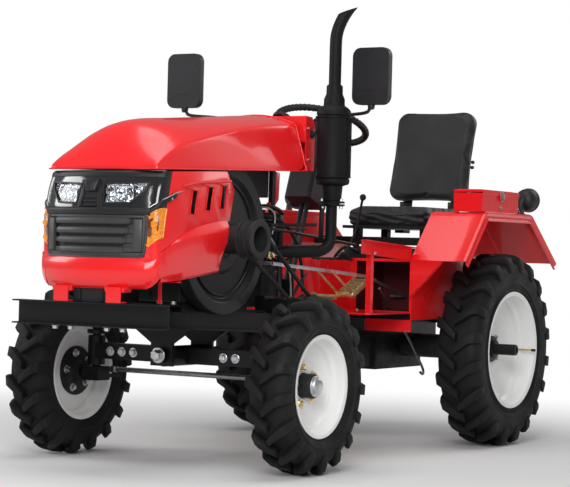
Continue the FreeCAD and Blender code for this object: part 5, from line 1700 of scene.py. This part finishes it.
def foot_pedals():
    """Plated treads with serrated edges, a roller foot and the links."""
    softened("pedals", "yellow_zinc", 0.0015)
    teeth = [slab("tooth", [(x, y + a, z) for a, z in (
        (0, 0.599), (0.013, 0.599), (0.01, 0.607), (0.003, 0.607))], (0.004, 0, 0))
        for x in (0.17, 0.23) for y in (0.106 + 0.016 * n for n in range(8))]
    teeth += [block("bar", (0.176, y, 0.598), (0.228, y + 0.005, 0.6025))
              for y in (0.112 + 0.025 * n for n in range(5))]
    teeth = moved(joined("pedal_teeth", teeth),
                  about((0.2, 0.163, 0.595), "X", math.atan2(0.058, 0.13)))
    made("pedal_teeth", [teeth], "yellow_zinc", 30, (0.0008,))
    half = [(0.036, 0), (0.036, 0.009), (0.03, 0.0115), (0.006, 0.0115), (0.004, 0.009)]
    roller = spun("roller", [(-a, r) for a, r in half] + half[::-1], (0.202, 0.098, 0.566), "X", 28)
    links = [ease(slab("link", [(x, y, z) for y, z in (
        (-0.06, 0.648), (-0.052, 0.655), (0.104, 0.572), (0.098, 0.562))], (0.004, 0, 0)), 0.001)
        for x in (0.17, 0.23)]
    made("pedal_roller", [roller, *links], "yellow_zinc")


def levers_and_rods():
    """Gear lever with its ball and boot, and the rods of the controls."""
    lever = tube("lever", [(0.06, y, z) for y, z in (
        (0.326, 0.69), (0.345, 0.715), (0.4, 0.775), (0.425, 0.81), (0.445, 0.865),
        (0.468, 0.926))], 0.0048, 4)
    made("lever", [lever], "black_paint", 60, nodes=["gear_lever"])
    ball = spun("lever_ball", [
        (-0.013, 0), (-0.013, 0.006), (-0.01, 0.0085), (-0.006, 0.0112), (-0.001, 0.0125),
        (0.004, 0.012), (0.008, 0.0095), (0.011, 0.006), (0.0125, 0)], HUB, "Z", 32)
    moved(ball, placed((0, 0.35, 0.94), (0.06, 0.47, 0.932)))
    made("lever_ball", [ball], "grip_rubber", 60)
    boot = spun("lever_boot", [
        (0, 0.034), (0.004, 0.034), (0.006, 0.026), (0.01, 0.028), (0.014, 0.021),
        (0.018, 0.023), (0.022, 0.016), (0.026, 0.017), (0.032, 0.008)], (0.06, 0.333, 0.69),
        "Z", 32)
    modify(boot, "SOLIDIFY", thickness=0.002, offset=-1)
    made("lever_boot", [boot], "grip_rubber", 50)
    upper = tube("upper_rod", [(0.1, -0.44, 0.8), (0.185, -0.438, 0.797), (0.2, -0.425, 0.794),
                               (0.2, -0.081, 0.769), (0.2, 0.159, 0.748)], 0.0055, 4)
    eye = spun("eye", [(-0.004, 0.004), (-0.004, 0.011), (0.004, 0.011), (0.004, 0.004),
                       (-0.004, 0.004)], (0.2, 0.165, 0.747), "X", 24)
    bar_top = slab("link_bar", [(0.178, y, z) for y, z in (
        (-0.4, 0.8), (-0.092, 0.808), (-0.092, 0.82), (-0.4, 0.812))], (0.006, 0, 0))
    second = tube("link_rod", [(0.15, -0.35, 0.732), (0.18, -0.33, 0.734), (0.182, -0.2, 0.738),
                               (0.18, -0.06, 0.741)], 0.0042, 3)
    made("control_links", [upper, eye, bar_top, second], "black_paint", 50, nodes=["control_rods"])
    hook = tube("hook_rod", [
        (0.212, 0.34, 0.59), (0.212, 0.395, 0.545), (0.205, 0.41, 0.52), (0.2, 0.56, 0.44),
        (0.2, 0.725, 0.29), (0.2, 0.745, 0.262), (0.2, 0.735, 0.25), (0.2, 0.715, 0.262)],
        0.005, 4)
    made("hook_rod", [hook], "zinc_dark", 50)
    line = [(-0.44, 0.676), (0.017, 0.648), (0.252, 0.632), (0.553, 0.556)]
    outline = [(0.208, y, z + up) for way, up in ((1, 0.006), (-1, -0.006))
               for y, z in line[::way]]
    bar = ease(slab("flat_bar", outline, (0.005, 0, 0)), 0.0008)
    stubs = [drum("stub", (x, y, z), (0.213, y, z), 0.006, 20)
             for x, y, z in ((0.1, -0.436, 0.676), (0.15, 0.548, 0.557))]
    made("flat_bar", [bar, *stubs], "flat_bar_grey")


# ---------------------------------------------------------------- seat


CLOTH_FRAMES = 20


def blown_up(pad, movement, pressure):
    """Blow a closed cushion up as cloth and keep what moved within a limit."""
    before = [v.co.copy() for v in pad.data.vertices]
    take(pad)
    bpy.ops.object.modifier_add(type="CLOTH")
    cloth = pad.modifiers[-1]
    settings = cloth.settings
    settings.quality = 6
    settings.mass = 0.25
    settings.tension_stiffness = settings.compression_stiffness = 60
    settings.bending_stiffness = 2.0
    settings.use_pressure = True
    settings.uniform_pressure_force = pressure
    settings.effector_weights.gravity = 0
    for frame_number in range(1, CLOTH_FRAMES + 1):
        bpy.context.scene.frame_set(frame_number)
    bpy.ops.object.modifier_apply(modifier=cloth.name)
    bpy.context.scene.frame_set(1)
    for vertex, old in zip(pad.data.vertices, before):
        step = vertex.co - old
        if step.length > movement:
            vertex.co = old + step * (movement / step.length)


def seat_pad(name, low, high, cut, sizes, share, grain, crease, place=None):
    """A padded piece from a rounded blank: blown up as cloth, then creased by a rule."""
    pad = block(name, low, high)
    axis, corner, edge = cut
    round_corners(pad, axis, corner, 6)
    ease(pad, edge, 3, 40)
    if place:
        moved(pad, place)
    modify(pad, "REMESH", mode="VOXEL", voxel_size=grain)
    blown_up(pad, sizes.swell * share[0], sizes.pressure * share[1])
    modify(pad, "SUBSURF", levels=1, render_levels=1)
    ways = [v.normal.copy() for v in pad.data.vertices]
    for vertex, way in zip(pad.data.vertices, ways):
        vertex.co += way * crease(vertex.co, way)
    return named(pad, name)


def seat(sizes):
    """Cushion and backrest: blown up as cloth, creased at the sides, with a seam round each."""
    low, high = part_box("seat_cushion")
    inset = Vector((0.006, 0.004, 0.004))
    first, last = low + inset, high - inset
    tall = high.z - low.z

    def cushion_folds(at, way):
        side = max(0.0, 1 - abs(way.z) * 1.35)
        along = at.x if abs(way.y) > abs(way.x) else at.y * 0.8
        up = (at.z - low.z) / tall
        wave = math.sin(58 * up / 9 * 2.4 + 6.5 * math.sin(7.0 * along + 0.6) + 21 * along)
        fine = math.sin(31 * up / 3 + 8.0 * math.sin(4.3 * along) - 33 * along + 1.3)
        return side * (0.0026 * wave + 0.0013 * fine) - 0.0012 * side

    def back_folds(at, way):
        side = max(0.0, 1 - abs(way.y) * 1.4)
        wave = math.sin(95 * at.z + 5 * math.sin(30 * at.x + 11 * at.y))
        face = 0.0007 * math.sin(9 * at.x + 3) * math.sin(17 * at.z + 4 * at.x)
        return side * 0.0012 * wave + (1 - side) * face

    pad = seat_pad("seat_pad", first, last, (2, 0.04, 0.014), sizes, (1, 1), 0.005,
                   cushion_folds)
    made("seat_pad", [pad], "seat_vinyl", 80, nodes=["seat_cushion"])
    lean = Matrix.Translation((0, 1.1315, 0.936)) @ Matrix.Rotation(-sizes.lean, 4, "X")
    back = seat_pad("back_pad", (-0.178, -0.022, 0.002), (0.178, 0.022, 0.384), (1, 0.05, 0.011),
                    sizes, (0.55, 0.6), 0.0055, back_folds, lean)
    made("back_pad", [back], "seat_vinyl", 80, nodes=["seat_back"])
    softened("seat_base", "black_paint", 0.002)
    middle, half = (first + last) / 2, (last - first) / 2
    outline = rounded_corners(middle.x, middle.y, half.x, half.y, 0.04, 0)
    seam = welt("cushion_seam", [(x, y, high.z - 0.016) for x, _, y in outline], pad, 0.0019)
    made("cushion_seam", [seam], "seat_vinyl", 60)
    outline = rounded_corners(0, 0.193, 0.174, 0.187, 0.05, 0)
    made("back_seams", [
        welt("seam", [lean @ Vector((x, face * 0.021, z)) for x, _, z in outline], back, 0.0017)
        for face in (-1, 1)], "seat_vinyl", 60)
    knobs = [drum("knob", (x, 1.12, 0.905), (x, 1.12, 0.936), 0.009, 20) for x in (-0.11, 0.11)]
    for up in (0.15, 0.172):
        at = lean @ Vector((0.176, 0.006, up))
        knobs.append(drum("knob", at, at + X * 0.012, 0.007, 16))
    made("seat_knobs", knobs, "black_plastic", soft=(0.002,))
    bolts("seat_bolts", both_sides(((0.15, 0.82, 0.7545), -Z), ((0.15, 1.06, 0.7545), -Z)),
          0.013, 0.008)


def welt(name, points, pad, radius):
    """A thin seam bead that lies on the skin of a pad."""
    line = drawn(name, [*points, points[0]])
    with shaping(line, "EDGE"):
        select_all()
        bpy.ops.mesh.remove_doubles(threshold=0.00002)
        bpy.ops.mesh.subdivide(number_cuts=5)
    modify(line, "SHRINKWRAP", target=pad, wrap_method="NEAREST_SURFACEPOINT")
    return beaded(line, name, radius, 2)


# ---------------------------------------------------------------- frame and axles


AXLE_Y = -0.633
KINGPIN_X = 0.366


def frame_pieces():
    """Rails, crossbeam, battery box and axle with eased edges."""
    for node, finish, width in (
        ("main_frame", "black_paint", 0.002), ("front_crossbeam", "black_paint", 0.0022),
        ("nose_brackets", "red_paint", 0.0012), ("battery_box", "black_plastic", 0.0025),
        ("drawbar", "black_paint", 0.002), ("front_axle_beam", "black_paint", 0.0025),
        ("rear_transaxle", "casting", 0.006),
    ):
        softened(node, finish, width)
    for word, _ in SIDES:
        softened("steering_knuckle_" + word, "black_paint", 0.003, body="knuckle_" + word)
    softened("tie_rod", "bare_steel", 0.0012, body="tie_rod")


def frame_bolts():
    """Bolts of the axle beam, the crossbeam and the rails, battery straps and leads."""
    bolts("axle_bolts", [((x, AXLE_Y - 0.027, 0.361), -Y)
                         for x in (-0.288, -0.24, -0.192, 0.17, 0.217)], 0.022, 0.012)
    pivot = moved(hex_bolt("pivot_nut", 0.036, 0.022), placed(-Y, (0, -0.79, 0.366)))
    made("pivot_nut", [pivot], "zinc", 30)
    rail = [((0.132, y, 0.5483 - 0.0433 * (y + 1.156)), Z) for y in (-0.985, -0.903, -0.498, -0.12)]
    bolts("rail_bolts", both_sides(((0.101, -1.175, 0.549), Z), *rail, ((0.07, -1.176, 0.468), -Z),
                                   ((0.13, -1.176, 0.468), -Z)), 0.018, 0.011)
    straps = [block("strap", (x, -1.174, 0.545), (x + 0.014, -1.002, 0.648))
              for x in (-0.052, 0.038)]
    made("battery_straps", straps, "grip_rubber", 30, (0.0015,))
    leads = [tube("lead", points, 0.005, 3) for points in (
        [(0.045, -1.04, 0.65), (0.045, -1.02, 0.672), (0.07, -0.995, 0.665), (0.09, -0.985, 0.6),
         (0.1, -0.98, 0.56)],
        [(-0.045, -1.04, 0.65), (-0.045, -1.015, 0.67), (-0.06, -0.992, 0.65),
         (-0.07, -0.985, 0.59)])]
    made("battery_leads", leads, "grip_rubber", 60)
    for word, side in SIDES:
        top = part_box("steering_knuckle_" + word)[1].z - 0.001
        nut = moved(hex_bolt("nut", 0.034, 0.014), placed(Z, (side * KINGPIN_X, AXLE_Y, top)))
        made("kingpin_nut_" + word, [nut], "zinc", 30, body="knuckle_" + word)


# ---------------------------------------------------------------- stage


CAMERA_TURN = math.radians(30.91)
CAMERA_RISE = math.radians(-0.21)
CAMERA_ROLL = math.radians(1.53)
CAMERA_PLACE = (3.6587, -6.1106, 0.72)


def camera(stage):
    """A long lens at the front left corner, a little below the bonnet."""
    ahead = Vector((
        -math.sin(CAMERA_TURN) * math.cos(CAMERA_RISE),
        math.cos(CAMERA_TURN) * math.cos(CAMERA_RISE),
        -math.sin(CAMERA_RISE),
    ))
    right = Vector((math.cos(CAMERA_TURN), math.sin(CAMERA_TURN), 0))
    up = right.cross(ahead)
    across = right * math.cos(CAMERA_ROLL) + up * math.sin(CAMERA_ROLL)
    above = up * math.cos(CAMERA_ROLL) - right * math.sin(CAMERA_ROLL)
    turn = Matrix((across, above, -ahead)).transposed().to_4x4()
    clear()
    bpy.ops.object.camera_add(location=(0, 0, 0))
    view = bpy.context.object
    view.name = "camera"
    view.matrix_world = Matrix.Translation(CAMERA_PLACE) @ turn
    view.data.lens = stage.lens
    view.data.sensor_width = 36
    view.data.sensor_fit = "HORIZONTAL"
    bpy.context.scene.camera = view


def lamp(name, place, towards, size, power):
    """A square soft box."""
    clear()
    bpy.ops.object.light_add(type="AREA", location=place)
    light = bpy.context.object
    light.name = name
    light.data.energy = power
    light.data.size = size
    light.rotation_euler = (Vector(place) - Vector(towards)).to_track_quat("Z", "Y").to_euler()
    return light


def pale_ground(stage):
    """Matt floor that keeps the shadow and goes over to plain white away from the tractor."""
    material = new_finish("ground", (stage.floor, stage.floor, stage.floor), 0.9)
    tree = material.node_tree
    colour_between(material, clouds(material, 0.6), (stage.floor * 0.99,) * 3, (stage.floor,) * 3)
    seen = add_node(material, "ShaderNodeLightPath")
    either = add_node(
        material, "ShaderNodeMath", [(seen.outputs["Is Camera Ray"], 0),
                                     (seen.outputs["Is Glossy Ray"], 1)], operation="MAXIMUM",
    )
    any_ray = add_node(
        material, "ShaderNodeMath", [(either.outputs[0], 0),
                                     (seen.outputs["Is Transmission Ray"], 1)], operation="MAXIMUM",
    )
    away = add_node(material, "ShaderNodeVectorMath", [(object_place(material), 0)],
                    operation="LENGTH")
    fade = add_node(material, "ShaderNodeMapRange", [(away.outputs["Value"], "Value")],
                    interpolation_type="SMOOTHSTEP")
    fade.inputs["From Min"].default_value = stage.near
    fade.inputs["From Max"].default_value = stage.far
    amount = add_node(material, "ShaderNodeMath", [(fade.outputs["Result"], 0),
                                                   (any_ray.outputs[0], 1)], operation="MULTIPLY")
    glow = add_node(material, "ShaderNodeEmission", Strength=1.0)
    mixed = add_node(material, "ShaderNodeMixShader", [
        (amount.outputs[0], "Fac"), (shader_of(material).outputs["BSDF"], 1),
        (glow.outputs["Emission"], 2)])
    tree.links.new(mixed.outputs["Shader"], tree.nodes["Material Output"].inputs["Surface"])
    return material


def white_world(stage):
    """White where it is seen, plain soft light everywhere else."""
    world = bpy.data.worlds.new("studio")
    bpy.context.scene.world = world
    world.use_nodes = True
    tree = world.node_tree
    background = tree.nodes["Background"]
    background.inputs["Color"].default_value = (1, 1, 1, 1)
    seen = tree.nodes.new("ShaderNodeLightPath")
    strength = tree.nodes.new("ShaderNodeMapRange")
    strength.inputs["To Min"].default_value = stage.sky
    strength.inputs["To Max"].default_value = 1.0
    tree.links.new(seen.outputs["Is Camera Ray"], strength.inputs["Value"])
    tree.links.new(strength.outputs["Result"], background.inputs["Strength"])


def studio(stage):
    """Floor, surroundings, soft boxes and camera."""
    clear()
    bpy.ops.mesh.primitive_plane_add(size=60, location=(0, 0, 0))
    ground = added("ground")
    ground.data.materials.append(pale_ground(stage))
    white_world(stage)
    lamp("top_box", (0.2, -0.6, 4.2), (0, 0, 0.6), 3.0, stage.top_lamp)
    lamp("front_box", (2.6, -4.6, 2.6), (0.2, -0.4, 0.8), 2.2, stage.front_lamp)
    lamp("side_box", (-3.8, -2.2, 2.4), (0, 0, 0.8), 2.0, stage.side_lamp)
    lamp("back_box", (1.5, 4.2, 2.8), (0, 0.2, 0.8), 2.2, stage.back_lamp)
    camera(stage)
    bpy.context.scene.view_settings.view_transform = "Standard"


# ---------------------------------------------------------------- add-on


class TractorColours(bpy.types.PropertyGroup):
    """Colours of the paint and rubber."""

    red: FloatVectorProperty(
        name="Bodywork", description="Enamel of the sheet metal", subtype="COLOR",
        default=(0.84, 0.012, 0.016), min=0, max=1,
    )
    black: FloatVectorProperty(
        name="Chassis", description="Enamel of the frame and axles", subtype="COLOR",
        default=(0.006, 0.006, 0.007), min=0, max=1,
    )
    white: FloatVectorProperty(
        name="Rims", description="Enamel of the wheel dishes", subtype="COLOR",
        default=(0.86, 0.86, 0.85), min=0, max=1,
    )
    rubber: FloatVectorProperty(
        name="Tyres", description="Tread rubber", subtype="COLOR",
        default=(0.01, 0.0102, 0.0108), min=0, max=1,
    )


class TractorTyres(bpy.types.PropertyGroup):
    """Sizes of the tread."""

    front_bars: IntProperty(
        name="Front bars", description="Tread bars on each half of a front tyre",
        default=17, min=6, max=40,
    )
    rear_bars: IntProperty(
        name="Rear bars", description="Tread bars on each half of a rear tyre",
        default=20, min=6, max=40,
    )
    bar_height: FloatProperty(
        name="Bar height", description="Height of a bar above the casing",
        default=0.026, min=0.005, max=0.05, unit="LENGTH",
    )
    bar_width: FloatProperty(
        name="Bar width", description="Width of a bar on a front tyre",
        default=0.03, min=0.005, max=0.06, unit="LENGTH",
    )


class TractorSeat(bpy.types.PropertyGroup):
    """How full the seat is."""

    swell: FloatProperty(
        name="Swell", description="The farthest that the cover moves out",
        default=0.016, min=0, max=0.05, unit="LENGTH",
    )
    pressure: FloatProperty(name="Pressure", description="Pressure inside the cover", default=4.0)
    lean: FloatProperty(
        name="Lean", description="How far the backrest leans back", subtype="ANGLE",
        default=math.radians(13.0), min=0, max=0.5,
    )


class TractorStage(bpy.types.PropertyGroup):
    """Lamps, floor and lens."""

    lens: FloatProperty(name="Lens", description="Focal length in millimetres", default=123.96)
    floor: FloatProperty(name="Floor", description="Grey of the floor", default=0.72, min=0, max=1)
    near: FloatProperty(name="Shadow to", description="Radius of the shaded floor", default=1.0)
    far: FloatProperty(name="White from", description="Radius of plain white", default=3.4)
    sky: FloatProperty(name="Sky", description="Strength of the soft light all round",
                       default=0.27, min=0)
    top_lamp: FloatProperty(name="Top box", description="Power in watts", default=70, min=0)
    front_lamp: FloatProperty(name="Front box", description="Power in watts", default=155, min=0)
    side_lamp: FloatProperty(name="Side box", description="Power in watts", default=70, min=0)
    back_lamp: FloatProperty(name="Back box", description="Power in watts", default=40, min=0)


class TRACTOR_OT_finishes(bpy.types.Operator):
    """Make the finishes and paint every node that comes from the frame"""

    bl_idname = "tractor.finishes"
    bl_label = "Finishes"

    def execute(self, context):
        make_finishes(context.scene.tractor_colours)
        paint_nodes()
        return {"FINISHED"}


class TRACTOR_OT_frame(bpy.types.Operator):
    """Rails, crossbeam, battery box, axle and their bolts"""

    bl_idname = "tractor.frame"
    bl_label = "Frame and axle"

    def execute(self, context):
        frame_pieces()
        frame_bolts()
        return {"FINISHED"}


class TRACTOR_OT_tyres(bpy.types.Operator):
    """Four treaded tyres"""

    bl_idname = "tractor.tyres"
    bl_label = "Tyres"

    def execute(self, context):
        tyres(context.scene.tractor_tyres)
        return {"FINISHED"}


class TRACTOR_OT_wheels(bpy.types.Operator):
    """Dished rims, hubs, bolts and valves"""

    bl_idname = "tractor.wheels"
    bl_label = "Wheels"

    def execute(self, context):
        front_wheel_pieces()
        rear_wheel_pieces()
        return {"FINISHED"}


class TRACTOR_OT_nose(bpy.types.Operator):
    """Grille, lamp band, lamps, corner lamps and the red lip"""

    bl_idname = "tractor.nose"
    bl_label = "Nose"

    def execute(self, context):
        nose()
        return {"FINISHED"}


class TRACTOR_OT_side_sheets(bpy.types.Operator):
    """Side sheets with their slots and pressed lines"""

    bl_idname = "tractor.side_sheets"
    bl_label = "Side sheets"

    def execute(self, context):
        side_sheets()
        return {"FINISHED"}


class TRACTOR_OT_lid(bpy.types.Operator):
    """Bonnet with soft edges"""

    bl_idname = "tractor.lid"
    bl_label = "Bonnet"

    def execute(self, context):
        lid()
        return {"FINISHED"}


class TRACTOR_OT_engine(bpy.types.Operator):
    """Crankcase, flywheel, head parts and fuel pipes"""

    bl_idname = "tractor.engine"
    bl_label = "Engine"

    def execute(self, context):
        engine()
        head_parts()
        return {"FINISHED"}


class TRACTOR_OT_belts(bpy.types.Operator):
    """One belt round the two pulleys"""

    bl_idname = "tractor.belts"
    bl_label = "Belt"

    def execute(self, context):
        belts()
        return {"FINISHED"}


class TRACTOR_OT_exhaust(bpy.types.Operator):
    """Silencer, guard, clamp, down pipe and stack"""

    bl_idname = "tractor.exhaust"
    bl_label = "Exhaust"

    def execute(self, context):
        exhaust()
        return {"FINISHED"}


class TRACTOR_OT_cowl(bpy.types.Operator):
    """Cowl, column cover, gauge and key"""

    bl_idname = "tractor.cowl"
    bl_label = "Cowl"

    def execute(self, context):
        cowl()
        return {"FINISHED"}


class TRACTOR_OT_steering_wheel(bpy.types.Operator):
    """Grip, spokes and cap"""

    bl_idname = "tractor.steering_wheel"
    bl_label = "Steering wheel"

    def execute(self, context):
        wheel_of_steering()
        return {"FINISHED"}


class TRACTOR_OT_platform(bpy.types.Operator):
    """Floor, pedals, lever and rods"""

    bl_idname = "tractor.platform"
    bl_label = "Platform"

    def execute(self, context):
        platform_pieces()
        foot_pedals()
        levers_and_rods()
        return {"FINISHED"}


class TRACTOR_OT_mudguards(bpy.types.Operator):
    """Mudguards, tool box and rear lamps"""

    bl_idname = "tractor.mudguards"
    bl_label = "Mudguards"

    def execute(self, context):
        mudguards()
        box_for_tools()
        lamps_behind()
        return {"FINISHED"}


class TRACTOR_OT_seat(bpy.types.Operator):
    """Cushion and backrest blown up as cloth, their piping and frame"""

    bl_idname = "tractor.seat"
    bl_label = "Seat"

    def execute(self, context):
        seat(context.scene.tractor_seat)
        return {"FINISHED"}


class TRACTOR_OT_mirrors(bpy.types.Operator):
    """Two mirrors on bent stems"""

    bl_idname = "tractor.mirrors"
    bl_label = "Mirrors"

    def execute(self, context):
        mirrors()
        return {"FINISHED"}


class TRACTOR_OT_stage(bpy.types.Operator):
    """Floor, soft boxes, white surroundings and the camera"""

    bl_idname = "tractor.stage"
    bl_label = "Stage"

    def execute(self, context):
        studio(context.scene.tractor_stage)
        return {"FINISHED"}


GROUPS = (
    ("tractor_colours", TractorColours),
    ("tractor_tyres", TractorTyres),
    ("tractor_seat", TractorSeat),
    ("tractor_stage", TractorStage),
)
STEPS = (
    TRACTOR_OT_finishes, TRACTOR_OT_frame, TRACTOR_OT_tyres, TRACTOR_OT_wheels, TRACTOR_OT_nose,
    TRACTOR_OT_side_sheets, TRACTOR_OT_lid, TRACTOR_OT_engine, TRACTOR_OT_belts,
    TRACTOR_OT_exhaust, TRACTOR_OT_cowl, TRACTOR_OT_steering_wheel, TRACTOR_OT_platform,
    TRACTOR_OT_mudguards, TRACTOR_OT_seat, TRACTOR_OT_mirrors, TRACTOR_OT_stage,
)


class TRACTOR_PT_workshop(bpy.types.Panel):
    """The steps of the build, in order"""

    bl_idname = "TRACTOR_PT_workshop"
    bl_label = "Mini Tractor"
    bl_space_type = "VIEW_3D"
    bl_region_type = "UI"
    bl_category = "Tractor"

    def draw(self, context):
        column = self.layout.column(align=True)
        for step in STEPS:
            column.operator(step.bl_idname)
        for name, group in GROUPS:
            box = self.layout.box()
            settings = getattr(context.scene, name)
            for key in group.__annotations__:
                box.prop(settings, key)


def register():
    for name, group in GROUPS:
        bpy.utils.register_class(group)
        setattr(bpy.types.Scene, name, PointerProperty(type=group))
    for step in (*STEPS, TRACTOR_PT_workshop):
        bpy.utils.register_class(step)


def unregister():
    for step in reversed((*STEPS, TRACTOR_PT_workshop)):
        bpy.utils.unregister_class(step)
    for name, group in reversed(GROUPS):
        delattr(bpy.types.Scene, name)
        bpy.utils.unregister_class(group)


def main():
    register()
    for step in STEPS:
        word = step.bl_idname.split(".")[1]
        if getattr(bpy.ops.tractor, word)() != {"FINISHED"}:
            raise RuntimeError(word + " did not finish")


if __name__ == "__main__":
    main()
